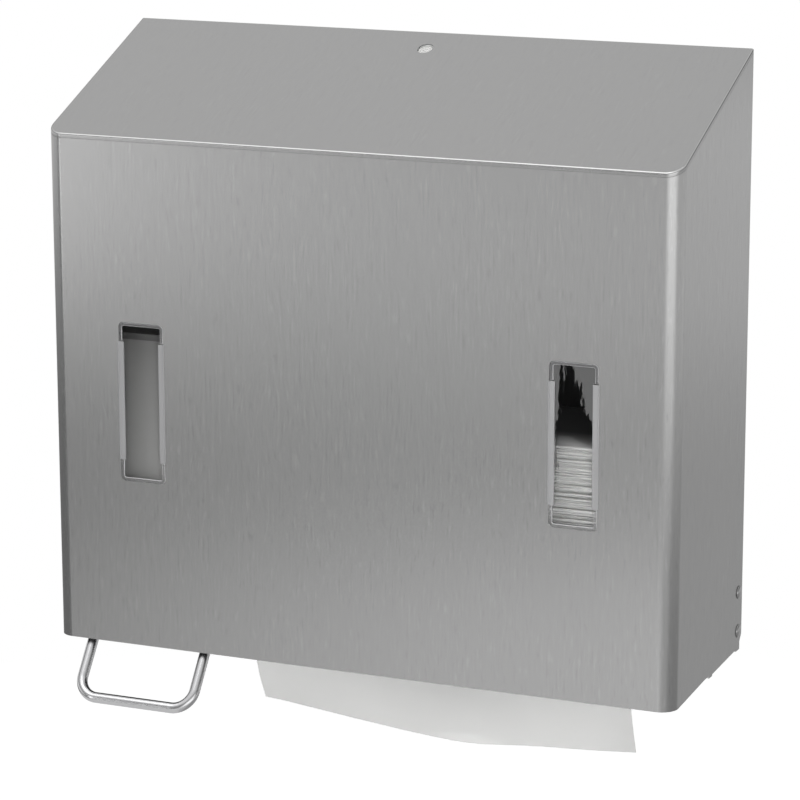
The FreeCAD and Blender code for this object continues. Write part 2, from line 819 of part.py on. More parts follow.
def make_pump_body():
    """The pump cylinder: flange on the shelf, socket for the tank above, chamber below."""
    at = (pump_x, pump_y)
    flange_top = shelf_z + pump_flange_thick
    flange = rod("z", at, shelf_z, flange_top, pump_flange_radius)
    barrel = rod("z", at, body_low, flange_top, body_radius)
    body = fused(flange, barrel)
    body = body.cut(rod("z", at, socket_floor, flange_top + 1, socket_radius))
    body = body.cut(rod("z", at, body_low - 1, chamber_top, chamber_radius))
    body = body.cut(rod("z", at, chamber_top - 1, socket_floor + 1, valve_stem_radius + valve_gap))
    for i in range(throat_holes):
        angle = 2 * math.pi * (i + 0.5) / throat_holes
        hole = (pump_x + throat_hole_offset * math.cos(angle), pump_y + throat_hole_offset * math.sin(angle))
        body = body.cut(rod("z", hole, chamber_top - 1, socket_floor + 1, throat_hole_radius))
    return body


def make_ring_nut():
    """The nut under the shelf that clamps the pump, with finger lobes round it."""
    at = (pump_x, pump_y)
    high = shelf_z - shelf_thick
    nut = rod("z", at, high - ring_nut_thick, high, ring_nut_radius)
    for i in range(ring_nut_lobes):
        angle = 2 * math.pi * i / ring_nut_lobes
        notch = (pump_x + (ring_nut_radius + 1) * math.cos(angle), pump_y + (ring_nut_radius + 1) * math.sin(angle))
        nut = nut.cut(rod("z", notch, high - ring_nut_thick - 1, high + 1, ring_nut_lobe_radius))
    return nut.cut(rod("z", at, 0, shelf_z, body_radius + thread_fit))


def make_pump_cap():
    """The screwed lower cap that holds the piston in; the stem passes through its floor."""
    at = (pump_x, pump_y)
    cap = rod("z", at, cap_low, cap_high, cap_radius)
    cap = cap.cut(rod("z", at, cap_low + cap_floor, cap_high + 1, body_radius + thread_fit))
    cap = cap.cut(rod("z", at, cap_low - 1, cap_high, stem_radius + stem_clearance))
    for i in range(cap_grooves):
        angle = 2 * math.pi * i / cap_grooves
        groove = (pump_x + (cap_radius + 0.4) * math.cos(angle), pump_y + (cap_radius + 0.4) * math.sin(angle))
        cap = cap.cut(rod("z", groove, cap_low + 2, cap_high + 1, cap_groove_radius))
    return cap


def make_inlet_valve():
    """A rubber umbrella valve: disc under the throat, stem up through it and a bulb above."""
    at = (pump_x, pump_y)
    disc_high = chamber_top - valve_gap / 2
    disc = rod("z", at, disc_high - valve_thick, disc_high, valve_radius)
    stem_high = socket_floor + valve_gap / 2
    stem = rod("z", at, disc_high - valve_thick, stem_high + 1, valve_stem_radius)
    bulb = Part.makeCone(valve_stem_radius + 0.8, valve_stem_radius * 0.6, 1.8, Vector(pump_x, pump_y, stem_high))
    return fused(disc, stem, bulb)


def head_top():
    """Height of the piston head's top at rest."""
    return cap_low + cap_floor + head_rest + head_height


def make_piston():
    """Head with a seal groove, stem with the collar that the fork lifts, and the soap bore."""
    at = (pump_x, pump_y)
    low = cap_low + cap_floor + head_rest
    head = rod("z", at, low, head_top(), chamber_radius - head_clearance)
    stem = rod("z", at, stem_low, head_top(), stem_radius)
    collar = rod("z", at, collar_z, collar_z + collar_thick, collar_radius)
    piston = fused(head, stem, collar)
    groove_low = low + seal_low - 0.1
    groove = ring("z", at, groove_low, groove_low + seal_height + 0.2, chamber_radius + 1,
                  chamber_radius - head_clearance - seal_depth)
    return piston.cut([groove, rod("z", at, stem_low - 1, head_top() + 1, soap_bore_radius)])


def seal_ring(low, height, outer, depth):
    """A ring seal with rounded outer edges."""
    seal = ring("z", (pump_x, pump_y), low, low + height, outer, outer - depth)
    edges = [e for e in seal.Edges if e.Curve.TypeId == "Part::GeomCircle" and abs(e.Curve.Radius - outer) < 1e-6]
    return seal.makeFillet(height / 4, edges)


def make_piston_seal():
    """The piston's ring seal, with a running fit in the chamber."""
    low = cap_low + cap_floor + head_rest + seal_low
    outer = chamber_radius - running_clearance
    depth = outer - (chamber_radius - head_clearance - seal_depth) - rivet_fit
    return seal_ring(low, seal_height, outer, depth)


def make_nozzle_tip():
    """The rubber outlet over the stem's end, tapering to its mouth."""
    at = Vector(pump_x, pump_y, tip_low)
    taper = stem_low - tip_low
    tip = Part.makeCone(tip_radius * 0.55, tip_radius, taper, at)
    sleeve = rod("z", (pump_x, pump_y), stem_low, tip_high, tip_radius)
    tip = fused(tip, sleeve)
    tip = tip.cut(rod("z", (pump_x, pump_y), stem_low, tip_high + 1, stem_radius + rivet_fit))
    return tip.cut(rod("z", (pump_x, pump_y), 0, stem_low + 1, tip_mouth_radius))


def make_pump_spring():
    """The return spring between the piston head and the chamber's top."""
    low = head_top() + pump_wire + 0.3
    high = chamber_top - pump_wire - 0.3
    spring = coil(pump_coil_radius, pump_wire, pump_turns, high - low)
    spring.translate(Vector(pump_x, pump_y, low))
    return spring


def make_tank():
    """The open-topped tank: foot rim on the shelf, outlet spigot and two ears for the lid's pin."""
    base = tank_base
    foot = tank_foot
    outer = rounded_box(tank_left, tank_right, -tank_front, -tank_rear, base, tank_top, tank_round)
    w = tank_wall
    x0, x1, y0, y1 = tank_left + w, tank_right - w, -tank_front + w, -tank_rear - w
    floor_top = base + foot + tank_bottom_thick
    hollow = rounded_box(x0, x1, y0, y1, floor_top, tank_top + 1, tank_round - w)
    under = rounded_box(x0, x1, y0, y1, base - 1, base + foot, tank_round - w)
    tank = outer.cut([hollow, under])
    at = (pump_x, pump_y)
    spigot = rod("z", at, spigot_low, floor_top, spigot_radius)
    ears = []
    for x in lid_ear_places():
        z = lid_pin_z()
        ear = box(x, x + lid_ear_thick, lid_pin_y - lid_ear_radius, -tank_rear, tank_top - 6, z)
        ears += [ear, rod("x", (lid_pin_y, z), x, x + lid_ear_thick, lid_ear_radius)]
    tank = fused(tank, spigot, *ears)
    groove = ring("z", at, tank_seal_low - 0.1, tank_seal_low + tank_seal_height + 0.1, socket_radius + 2,
                  spigot_radius - tank_seal_depth)
    tank = tank.cut([rod("z", at, spigot_low - 1, floor_top + 1, spigot_bore), groove])
    return tank.cut(rod("x", (lid_pin_y, lid_pin_z()), tank_left - 5, tank_right + 5, lid_pin_radius + rivet_fit))


def lid_pin_z():
    """Height of the lid's pin."""
    return tank_top + lid_pin_above


def lid_ear_places():
    """Left faces of the tank's two ears."""
    return (tank_left + lid_ear_inset, tank_right - lid_ear_inset - lid_ear_thick)


def make_tank_seal():
    """The ring seal on the tank's spigot, with a running fit in the pump's socket."""
    outer = socket_radius - running_clearance
    depth = outer - (spigot_radius - tank_seal_depth) - rivet_fit
    return seal_ring(tank_seal_low, tank_seal_height, outer, depth)


def make_lid():
    """The flip lid: plate over the tank, a ridge inside its rim, and two lugs on the pin."""
    low = tank_top + lid_gap
    high = low + lid_thick
    out = lid_overhang
    rear = lid_pin_y - lid_rear_gap
    plate = box(tank_left - out, tank_right + out, -tank_front - out, rear, low, high)
    edges = [e for e in plate.Edges if abs(e.BoundBox.YMax + tank_front + out) < 1e-6 and e.BoundBox.ZLength > 1]
    plate = plate.makeFillet(tank_round + out, edges)
    inset = tank_wall + lid_ridge_gap
    x0, x1 = tank_left + inset, tank_right - inset
    y0, y1 = -tank_front + inset, rear - 3
    ridge = rounded_box(x0, x1, y0, y1, low - lid_ridge_depth, low + 0.5, tank_round - inset)
    w = lid_ridge_wall
    hollow = rounded_box(x0 + w, x1 - w, y0 + w, y1 - w, low - lid_ridge_depth - 1, low, tank_round - inset - w)
    lid = fused(plate, ridge.cut(hollow))
    left, right = lid_ear_places()
    lugs = []
    for x in (left + lid_ear_thick + lid_ear_gap, right - lid_ear_gap - lid_ear_thick):
        lugs.append(box(x, x + lid_ear_thick, rear - 6, lid_pin_y, low, lid_pin_z() + lid_ear_radius * 0.6))
        lugs.append(rod("x", (lid_pin_y, lid_pin_z()), x, x + lid_ear_thick, lid_ear_radius))
    lid = fused(lid, *lugs)
    return lid.cut(rod("x", (lid_pin_y, lid_pin_z()), tank_left, tank_right, lid_pin_radius + running_clearance))


def make_lid_pin():
    """The lid's pin through the tank's ears and the lid's lugs."""
    left, right = lid_ear_places()
    return rod("x", (lid_pin_y, lid_pin_z()), left - 1, right + lid_ear_thick + 1, lid_pin_radius)


def arm_way():
    """The direction in which the lever's arms run down and forward."""
    lean = math.radians(bow_lean)
    return Vector(0, -math.cos(lean), -math.sin(lean))


def arm_top(side):
    """The point on an arm's centre line that lies on the axle's line."""
    return Vector(pump_x + side * arm_spacing / 2, axle_y, axle_z)


def make_bow():
    """The bent rod: two arms, two bends and the bar that is pushed."""
    way = arm_way()
    length = (axle_z + bow_bar_below) / math.sin(math.radians(bow_lean))
    corners = []
    for side in (-1, 1):
        start = arm_top(side) + way * bow_start
        bend_start = arm_top(side) + way * (length - bow_bend)
        bend_end = arm_top(side) + way * length + Vector(-side * bow_bend, 0, 0)
        centre = bend_start + Vector(-side * bow_bend, 0, 0)
        middle = centre + (Vector(side, 0, 0) + way).normalize() * bow_bend
        corners.append((start, bend_start, middle, bend_end))
    left, right = corners
    path = Part.Wire([
        Part.makeLine(left[0], left[1]),
        Part.Arc(left[1], left[2], left[3]).toShape(),
        Part.makeLine(left[3], right[3]),
        Part.Arc(right[3], right[2], right[1]).toShape(),
        Part.makeLine(right[1], right[0]),
    ])
    section = Part.Wire(Part.makeCircle(bow_radius, left[0], way))
    return path.makePipeShell([section], True, False)


def make_rocker():
    """The rocker: barrel on the axle, two sockets for the bow, and the fork under the pump's collar."""
    barrel = rod("x", (axle_y, axle_z), pump_x - rocker_half, pump_x + rocker_half, rocker_radius)
    way = arm_way()
    sockets = [Part.makeCylinder(socket_radius_outer, socket_length, arm_top(s), way) for s in (-1, 1)]
    inner = stem_radius + fork_gap
    outer = inner + fork_tine
    high = fork_low + fork_thick
    web = box(pump_x - outer, pump_x + outer, axle_y, -fork_web_rear, fork_low, high)
    tines = []
    for side in (-1, 1):
        x0, x1 = sorted((pump_x + side * inner, pump_x + side * outer))
        tines.append(box(x0, x1, axle_y, -fork_end, fork_low, high))
        pad_z = collar_z - fork_pad_gap - fork_pad_radius
        tines.append(rod("x", (pump_y, pad_z), x0, x1, fork_pad_radius))
        tines.append(box(x0, x1, pump_y - fork_pad_radius, pump_y + fork_pad_radius, fork_low, pad_z))
    rocker = fused(barrel, web, *tines, *sockets)
    cuts = [rod("x", (axle_y, axle_z), -far, far, axle_radius + axle_bore_clearance)]
    for side in (-1, 1):
        start = arm_top(side) + way * (bow_start - 0.3)
        cuts.append(Part.makeCylinder(bow_radius + bow_fit, socket_length, start, way))
        cuts.append(screw_shape(side, set_screw_radius + rivet_fit, False))
    return rocker.cut(cuts)


def screw_shape(side, radius, with_head):
    """A set screw across one socket, from its outer side to the rod."""
    at = arm_top(side) + arm_way() * set_screw_at
    out = Vector(0, math.sin(math.radians(bow_lean)), -math.cos(math.radians(bow_lean)))
    start = at + out * (bow_radius + rivet_fit)
    end = socket_radius_outer - bow_radius - rivet_fit
    screw = Part.makeCylinder(radius, end + (0 if with_head else 2), start, out)
    if with_head:
        head = Part.makeCylinder(set_screw_head, set_screw_head_high, start + out * end, out)
        screw = fused(screw, head)
    return screw


def make_set_screws():
    """Two screws that hold the bow in the rocker's sockets."""
    return Part.makeCompound([screw_shape(side, set_screw_radius, True) for side in (-1, 1)])


def make_lever_bracket():
    """A bracket on the hood's inner face: base with four stud holes and two ears for the axle."""
    inner = rocker_half + ear_gap
    outer = inner + ear_thick
    base_back = inner_y + ear_thick
    base = box(pump_x - outer, pump_x + outer, inner_y, base_back, ear_low, lever_base_high)
    pieces = [base]
    for side in (-1, 1):
        x0, x1 = sorted((pump_x + side * inner, pump_x + side * outer))
        pieces.append(box(x0, x1, inner_y, axle_y, ear_low, ear_high))
        pieces.append(rod("x", (axle_y, axle_z), x0, x1, rocker_radius))
        pieces.append(box(x0, x1, axle_y - 1, -ear_rear, axle_z - 5, axle_z + 5))
    bracket = fused(*pieces)
    cuts = [rod("x", (axle_y, axle_z), -far, far, axle_radius + rivet_fit)]
    for x, z in lever_stud_places():
        cuts.append(rod("y", (x, z), inner_y - 1, base_back + 1, lever_stud_radius + stud_clearance))
    return bracket.cut(cuts)


def make_bracket_nuts():
    """Four nuts on the lever bracket's studs."""
    low = inner_y + ear_thick
    bore = lever_stud_radius + thread_fit
    return Part.makeCompound([hex_nut("y", at, low, low + lever_nut_thick, lever_nut_across, bore)
                              for at in lever_stud_places()])


def axle_half():
    """Half the axle's length."""
    return rocker_half + ear_gap + ear_thick + clip_gap + clip_thick + axle_end


def make_axle():
    """The lever's axle with a groove near each end."""
    axle = rod("x", (axle_y, axle_z), pump_x - axle_half(), pump_x + axle_half(), axle_radius)
    grooves = []
    for side in (-1, 1):
        x = pump_x + side * (axle_half() - axle_end - clip_thick / 2)
        half = clip_thick / 2 + 0.05
        grooves.append(ring("x", (axle_y, axle_z), x - half, x + half, axle_radius + 1, axle_radius - 0.6))
    return axle.cut(grooves)


def make_axle_clips():
    """Two open clips in the axle's grooves."""
    clips = []
    for side in (-1, 1):
        x = pump_x + side * (axle_half() - axle_end - clip_thick / 2)
        low, high = x - clip_thick / 2, x + clip_thick / 2
        clip = ring("x", (axle_y, axle_z), low, high, clip_radius, axle_radius - 0.55)
        mouth = box(low - 1, high + 1, axle_y - 2.2, axle_y + 2.2, axle_z + 1.2, axle_z + clip_radius + 1)
        clips.append(clip.cut(mouth))
    return Part.makeCompound(clips)


def make_lock_housing():
    """A plastic housing under the top: base with a round window, and two cheeks for the latch's pin."""
    low = -sheet - lock_base_thick
    base = rounded_box(-lock_base_half, lock_base_half, -lock_base_front, lock_base_rear, low, -sheet, 3.0)
    inner = latch_half + cheek_gap
    pieces = [base]
    depth = lock_pivot_depth + latch_eye_radius
    for side in (-1, 1):
        x0, x1 = sorted((side * inner, side * (inner + cheek_thick)))
        pieces.append(box(x0, x1, -cheek_front, -lock_pivot_ahead + latch_eye_radius, -depth, low + 0.5))
    housing = fused(*pieces)
    hole = latch_boss_radius + latch_boss_clearance
    cuts = [rod("z", (0, 0), low - 1, 0, hole)]
    cuts.append(rod("x", (-lock_pivot_ahead, -lock_pivot_depth), -far, far, latch_pin_radius + rivet_fit))
    for side in (-1, 1):
        at = (side * lock_stud_half, -lock_stud_ahead)
        cuts.append(rod("z", at, low - 1, 0, stud_radius + stud_clearance))
    return on_slope(housing.cut(cuts), slot_from_back)


def make_lock_nuts():
    """Two nuts on the studs that hold the lock housing."""
    high = -sheet - lock_base_thick
    nuts = [hex_nut("z", (s * lock_stud_half, -lock_stud_ahead), high - lock_nut_thick, high,
                    lock_nut_across, stud_radius + thread_fit) for s in (-1, 1)]
    return on_slope(Part.makeCompound(nuts), slot_from_back)


def latch_pivot():
    """World (y, z) of the latch's pin."""
    return slope_point(lock_pivot_ahead, lock_pivot_depth)


def make_latch_pin():
    """The pin through the housing's cheeks and the latch."""
    half = latch_half + cheek_gap + cheek_thick
    return rod("x", latch_pivot(), -half - 0.5, half + 0.5, latch_pin_radius)


def make_latch():
    """The latch: eye on the pin, boss under the key slot, arm under the keeper's lip and nose behind it."""
    py, pz = latch_pivot()
    nose_front = -keeper_reach + keeper_thick + latch_nose_gap
    nose_rear = nose_front + latch_nose_thick
    nose_top = keeper_top - keeper_thick - latch_nose_gap
    arm_top_z = keeper_lip_bottom - latch_under_lip
    arm_low_z = arm_top_z - latch_arm_thick
    boss_y, boss_z = slope_point(0, latch_boss_bottom)
    rise_y, rise_z = slope_point(latch_boss_radius, latch_boss_bottom)
    profile = [
        (py - 1, pz - latch_eye_radius), (-keeper_reach - 4, arm_low_z), (nose_rear, arm_low_z),
        (nose_rear, nose_top - 2), (nose_rear - 2, nose_top), (nose_front, nose_top),
        (nose_front, arm_top_z), (-keeper_reach - 3.0, arm_top_z), (boss_y, boss_z),
        (rise_y, rise_z), (py, pz + latch_eye_radius),
    ]
    body = prism_x(profile, -latch_half, latch_half)
    eye = rod("x", (py, pz), -latch_half, latch_half, latch_eye_radius)
    boss = rod("z", (0, 0), -latch_boss_bottom - 0.5, -latch_boss_top, latch_boss_radius)
    boss = boss.cut(box(-far, far, 0.5, far, -far, -latch_boss_bottom))
    groove = ring("z", (0, 0), -latch_boss_top - latch_ring_depth, 0, latch_ring_radius,
                  latch_ring_radius - latch_ring_width)
    eyelet = rod("z", (0, 0), -latch_boss_top - latch_ring_depth, 0, latch_ring_width)
    boss = on_slope(boss.cut([groove, eyelet]), slot_from_back)
    latch = fused(body, eye, boss)
    cuts = [rod("x", (py, pz), -far, far, latch_pin_radius + running_clearance)]
    half = latch_spring_width / 2 + latch_spring_room
    cuts.append(rod("x", (py, pz), -half, half, latch_eye_radius + 2))
    leg_x = latch_spring_width / 2 - latch_spring_wire
    leg_z = pz - latch_spring_radius()
    reach = latch_spring_out + latch_spring_hole
    cuts.append(rod("y", (leg_x, leg_z), py, py + reach, latch_spring_wire + latch_spring_hole))
    return latch.cut(cuts)


def latch_spring_radius():
    """Middle radius of the torsion spring's turns."""
    return latch_pin_radius + latch_spring_gap + latch_spring_wire


def make_latch_spring():
    """The torsion spring round the latch's pin: one leg up to the housing, the other into the latch."""
    quarters = 4 * latch_spring_turns + 1
    length = latch_spring_width - 2 * latch_spring_wire
    arcs, low, high = helix(latch_spring_radius(), quarters, length / quarters, 3)
    first_leg = Part.makeLine(low[0] - low[1] * latch_spring_up, low[0])
    last_leg = Part.makeLine(high[0], high[0] + high[1] * latch_spring_out)
    print("least gap in the latch spring", round(4 * length / quarters - 2 * latch_spring_wire, 3))
    spring = tube([first_leg] + arcs + [last_leg], latch_spring_wire)
    py, pz = latch_pivot()
    spring.rotate(Vector(0, 0, 0), Vector(0, 1, 0), 90)
    spring.translate(Vector(-length / 2, py, pz))
    return spring


def save(name, shape):
    """Writes one node, moved so that the origin is the middle of the wall holes."""
    shape = shape.copy()
    moved = FreeCAD.Placement(Vector(0, 0, -wall_hole_middle_z), FreeCAD.Rotation())
    shape.Placement = moved.multiply(shape.Placement)
    bad = [s for s in shape.Solids if not s.isValid()]
    size = shape.BoundBox
    print(f"{name:20s} solids {len(shape.Solids)} volume {shape.Volume:10.1f} "
          f"x {size.XMin:.1f} {size.XMax:.1f} y {size.YMin:.1f} {size.YMax:.1f} z {size.ZMin:.1f} {size.ZMax:.1f}",
          "INVALID" if bad or not shape.Solids else "")
    solids = shape.Solids
    result = solids[0] if len(solids) == 1 else Part.makeCompound(solids)
    result.exportStep(f"parts/{name}.step")


def main():
    """Builds every node."""
    os.makedirs("parts", exist_ok=True)
    save("back_plate", make_back_plate())
    save("latch_keeper", make_keeper())
    save("keeper_rivets", make_keeper_rivets())
    save("hinge_pins", make_hinge_pins())
    save("hinge_bushes", make_hinge_bushes())
    save("partition_wall", make_upright(partition_left, partition_front, partition_low, -1, shelf_z + flange_relief))
    save("towel_tray", make_tray())
    guide_flange_low = tray_z + tray_rear_flange + flange_relief
    save("towel_side_guide", make_upright(guide_left, guide_front, tray_z, 1, guide_flange_low))
    save("frame_rivets", make_frame_rivets())
    save("towel_stack", make_towel_stack())
    save("hanging_towel", make_hanging_towel())
    save("pump_shelf", make_shelf())
    save("pump_body", make_pump_body())
    save("pump_ring_nut", make_ring_nut())
    save("pump_cap", make_pump_cap())
    save("inlet_valve", make_inlet_valve())
    save("pump_spring", make_pump_spring())
    save("pump_piston", make_piston())
    save("piston_seal", make_piston_seal())
    save("nozzle_tip", make_nozzle_tip())
    save("soap_tank", make_tank())
    save("tank_outlet_seal", make_tank_seal())
    save("tank_lid", make_lid())
    save("lid_hinge_pin", make_lid_pin())
    save("hood_shell", make_hood_shell())
    save("hood_top", make_hood_top())
    save("soap_window", make_window(-window_x))
    save("towel_window", make_window(window_x))
    save("hinge_bracket_left", make_hinge_bracket(-1))
    save("hinge_bracket_right", make_hinge_bracket(1))
    save("hinge_rivets", make_hinge_rivets())
    save("lever_bracket", make_lever_bracket())
    save("bracket_nuts", make_bracket_nuts())
    save("lever_axle", make_axle())
    save("axle_clips", make_axle_clips())
    save("lever_rocker", make_rocker())
    save("lever_bow", make_bow())
    save("bow_set_screws", make_set_screws())
    save("lock_housing", make_lock_housing())
    save("lock_nuts", make_lock_nuts())
    save("latch_hook", make_latch())
    save("latch_pin", make_latch_pin())
    save("latch_spring", make_latch_spring())


main()
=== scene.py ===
"""Towel and soap dispenser combo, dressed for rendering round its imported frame.

The sizes in the classes are millimetres as on the part's drawing: X to the right, -Y into the room and Z
up from the hood's front lower edge. place() turns them into metres in the frame, whose origin is the
middle of the four wall holes.
"""

import json
import logging
import math
import random
from dataclasses import dataclass, field
from enum import Enum
from typing import Callable, Iterable, Sequence

import bmesh
import bpy
from mathutils import Matrix, Vector


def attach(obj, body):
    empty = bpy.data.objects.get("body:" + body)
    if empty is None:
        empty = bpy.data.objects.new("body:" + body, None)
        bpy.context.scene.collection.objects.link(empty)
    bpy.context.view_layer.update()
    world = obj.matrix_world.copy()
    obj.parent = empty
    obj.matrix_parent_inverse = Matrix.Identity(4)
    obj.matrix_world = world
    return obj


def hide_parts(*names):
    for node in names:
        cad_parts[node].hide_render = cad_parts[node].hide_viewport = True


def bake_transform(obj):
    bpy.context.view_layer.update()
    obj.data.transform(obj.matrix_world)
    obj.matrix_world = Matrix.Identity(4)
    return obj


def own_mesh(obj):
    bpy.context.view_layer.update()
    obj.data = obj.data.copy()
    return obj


MM = 0.001
ORIGIN_Z = 190.0
SPARE = 10.0  # how far a cutter reaches past what it cuts
LOG = logging.getLogger("dispenser")
Pair = tuple[float, float]
Line = tuple[Pair, ...]
Point = tuple[float, float, float]
Socket = bpy.types.NodeSocket
Inputs = dict[str | int, object]
Test = Callable[[Vector, Vector], bool]

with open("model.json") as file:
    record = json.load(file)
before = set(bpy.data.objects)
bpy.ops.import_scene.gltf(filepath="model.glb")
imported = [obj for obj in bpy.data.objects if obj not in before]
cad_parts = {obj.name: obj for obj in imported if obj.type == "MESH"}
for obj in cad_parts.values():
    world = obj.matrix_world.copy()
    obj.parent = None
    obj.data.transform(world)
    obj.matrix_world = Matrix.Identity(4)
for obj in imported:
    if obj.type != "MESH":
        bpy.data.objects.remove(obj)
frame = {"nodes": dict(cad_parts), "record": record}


def place(x: float, y: float, z: float) -> Vector:
    """Turn drawing millimetres into metres in the frame.

    Args:
        x: Distance to the right of the middle.
        y: Distance from the wall, negative into the room.
        z: Height over the hood's front lower edge.

    Returns:
        The same point in the frame.
    """
    return Vector((x, y, z - ORIGIN_Z)) * MM


def drawn(point: Vector) -> Vector:
    """Turn a point of the frame back into drawing millimetres."""
    return Vector((point.x / MM, point.y / MM, point.z / MM + ORIGIN_Z))


class Axis(Enum):
    """One of the three drawing axes."""

    X = 0
    Y = 1
    Z = 2

    @property
    def way(self) -> Vector:
        """Unit vector along the axis."""
        return Vector([1.0 if i == self.value else 0.0 for i in range(3)])

    def lift(self, a: float, b: float, along: float) -> Point:
        """Join the two other coordinates, in X, Y, Z order, with the one along this axis."""
        flat = [a, b]
        flat.insert(self.value, along)
        return (flat[0], flat[1], flat[2])


class Body(Enum):
    """The moving bodies of the frame."""

    FRAME = "frame"
    HOOD = "hood"
    LATCH = "latch"
    LEVER = "lever"
    PISTON = "piston"
    TANK = "tank"
    LID = "lid"


def clear_selection() -> None:
    """Leave edit mode and deselect everything."""
    if bpy.context.object is not None and bpy.context.object.mode != "OBJECT":
        bpy.ops.object.mode_set(mode="OBJECT")
    bpy.ops.object.select_all(action="DESELECT")


class Shape:
    """One mesh while it is being modelled, in drawing millimetres."""

    def __init__(self, obj: bpy.types.Object, name: str) -> None:
        """Take over a new object and name it."""
        obj.name = obj.data.name = name
        self.obj = obj

    @classmethod
    def block(cls, name: str, low: Point, high: Point) -> "Shape":
        """Make a box from its lowest and highest corner."""
        clear_selection()
        middle = [(a + b) / 2 for a, b in zip(low, high)]
        bpy.ops.mesh.primitive_cube_add(size=1, location=place(*middle))
        obj = bpy.context.object
        obj.scale = [(b - a) * MM for a, b in zip(low, high)]
        bpy.ops.object.transform_apply(location=True, rotation=True, scale=True)
        return cls(obj, name)

    @classmethod
    def prism(cls, name: str, corners: Sequence[Pair], axis: Axis, start: float, end: float) -> "Shape":
        """Push a closed outline out along an axis.

        Args:
            name: The object's name.
            corners: The outline in the two other coordinates, in X, Y, Z order.
            axis: The axis to push along.
            start: Where the outline lies on that axis.
            end: Where it is pushed to.

        Returns:
            The closed solid.
        """
        clear_selection()
        bpy.ops.mesh.primitive_circle_add(vertices=len(corners), radius=MM, fill_type="NGON")
        shape = cls(bpy.context.object, name)
        for vertex, (a, b) in zip(shape.obj.data.vertices, corners):
            vertex.co = place(*axis.lift(a, b, start))
        shape.enter()
        bpy.ops.mesh.extrude_region_move(TRANSFORM_OT_translate={"value": axis.way * ((end - start) * MM)})
        shape.turn_outwards()
        return shape

    @classmethod
    def of_node(cls, name: str, node: str) -> "Shape":
        """Copy a node's mesh, merged and with its flat faces in one piece."""
        clear_selection()
        source = frame["nodes"][node]
        twin = source.copy()
        twin.data = source.data.copy()
        bpy.context.scene.collection.objects.link(twin)
        twin.parent = None
        twin.matrix_world = source.matrix_world.copy()
        shape = cls(twin, name)
        shape.activate()
        bpy.ops.object.transform_apply(location=True, rotation=True, scale=True)
        shape.enter()
        bpy.ops.mesh.remove_doubles(threshold=1e-6)
        bpy.ops.mesh.dissolve_limited(angle_limit=math.radians(0.6))
        shape.leave()
        return shape

    @classmethod
    def turned(cls, name: str, profile: Sequence[Pair], axis: Axis, at: Pair, steps: int) -> "Shape":
        """Spin a closed profile round an axis, as on a lathe.

        Args:
            name: The object's name.
            profile: (radius, place along the axis) points of the closed profile.
            axis: The axis of the spin.
            at: The axis's other two coordinates, in X, Y, Z order.
            steps: Faces round the axis.

        Returns:
            The closed solid.
        """
        clear_selection()
        bpy.ops.mesh.primitive_circle_add(vertices=len(profile), radius=MM, fill_type="NOTHING")
        shape = cls(bpy.context.object, name)
        for vertex, (radius, along) in zip(shape.obj.data.vertices, profile):
            vertex.co = place(*axis.lift(at[0] + radius, at[1], along))
        shape.enter()
        bpy.ops.mesh.spin(steps=steps, angle=2 * math.pi, center=place(*axis.lift(at[0], at[1], 0)),
                          axis=axis.way, use_auto_merge=True)
        bpy.ops.mesh.select_all(action="SELECT")
        bpy.ops.mesh.remove_doubles(threshold=1e-6)
        bpy.ops.mesh.select_all(action="SELECT")
        bpy.ops.mesh.delete_loose(use_verts=True, use_edges=True, use_faces=False)
        shape.turn_outwards()
        return shape

    def activate(self) -> None:
        """Make this the only selected and the active object."""
        clear_selection()
        self.obj.select_set(True)
        bpy.context.view_layer.objects.active = self.obj

    def enter(self) -> None:
        """Open edit mode with everything selected."""
        self.activate()
        bpy.ops.object.mode_set(mode="EDIT")
        bpy.ops.mesh.select_all(action="SELECT")

    def leave(self) -> None:
        """Close edit mode."""
        bpy.ops.object.mode_set(mode="OBJECT")

    def turn_outwards(self) -> None:
        """Turn all faces outwards and leave edit mode."""
        bpy.ops.mesh.select_all(action="SELECT")
        bpy.ops.mesh.normals_make_consistent(inside=False)
        self.leave()

    def select(self, kind: str, test: Test) -> None:
        """Open edit mode with only the edges or the faces that pass a test.

        Args:
            kind: EDGE or FACE.
            test: Takes an edge's two ends, or a face's middle and its normal, with points in millimetres.
        """
        self.enter()
        bpy.ops.mesh.select_mode(type=kind)
        bpy.ops.mesh.select_all(action="DESELECT")
        mesh = bmesh.from_edit_mesh(self.obj.data)
        if kind == "EDGE":
            for edge in mesh.edges:
                edge.select_set(test(drawn(edge.verts[0].co), drawn(edge.verts[1].co)))
        else:
            for face in mesh.faces:
                face.select_set(test(drawn(face.calc_center_median()), face.normal.copy()))
        bmesh.update_edit_mesh(self.obj.data)

    def round_edges(self, test: Test, radius: float, segments: int = 4) -> "Shape":
        """Round the edges that pass the test."""
        self.select("EDGE", test)
        bpy.ops.mesh.bevel(offset=radius * MM, segments=segments, profile=0.5, affect="EDGES")
        self.leave()
        return self

    def slice(self, at: Vector, normal: Vector) -> "Shape":
        """Cut away what lies on the normal's side of a plane and close the cut."""
        self.enter()
        bpy.ops.mesh.bisect(plane_co=at, plane_no=normal, use_fill=True, clear_outer=True)
        self.leave()
        return self

    def modify(self, kind: str, **values: object) -> "Shape":
        """Add one modifier with the given settings and apply it."""
        self.activate()
        modifier = self.obj.modifiers.new(kind.title(), kind)
        for key, value in values.items():
            setattr(modifier, key, value)
        bpy.ops.object.modifier_apply(modifier=modifier.name)
        return self

    def combine(self, operation: str, others: Iterable["Shape"]) -> "Shape":
        """Cut, fuse or keep the common part with other shapes, which are used up."""
        for other in others:
            self.modify("BOOLEAN", operation=operation, solver="EXACT", object=other.obj)
            mesh = other.obj.data
            bpy.data.objects.remove(other.obj)
            bpy.data.meshes.remove(mesh)
        return self

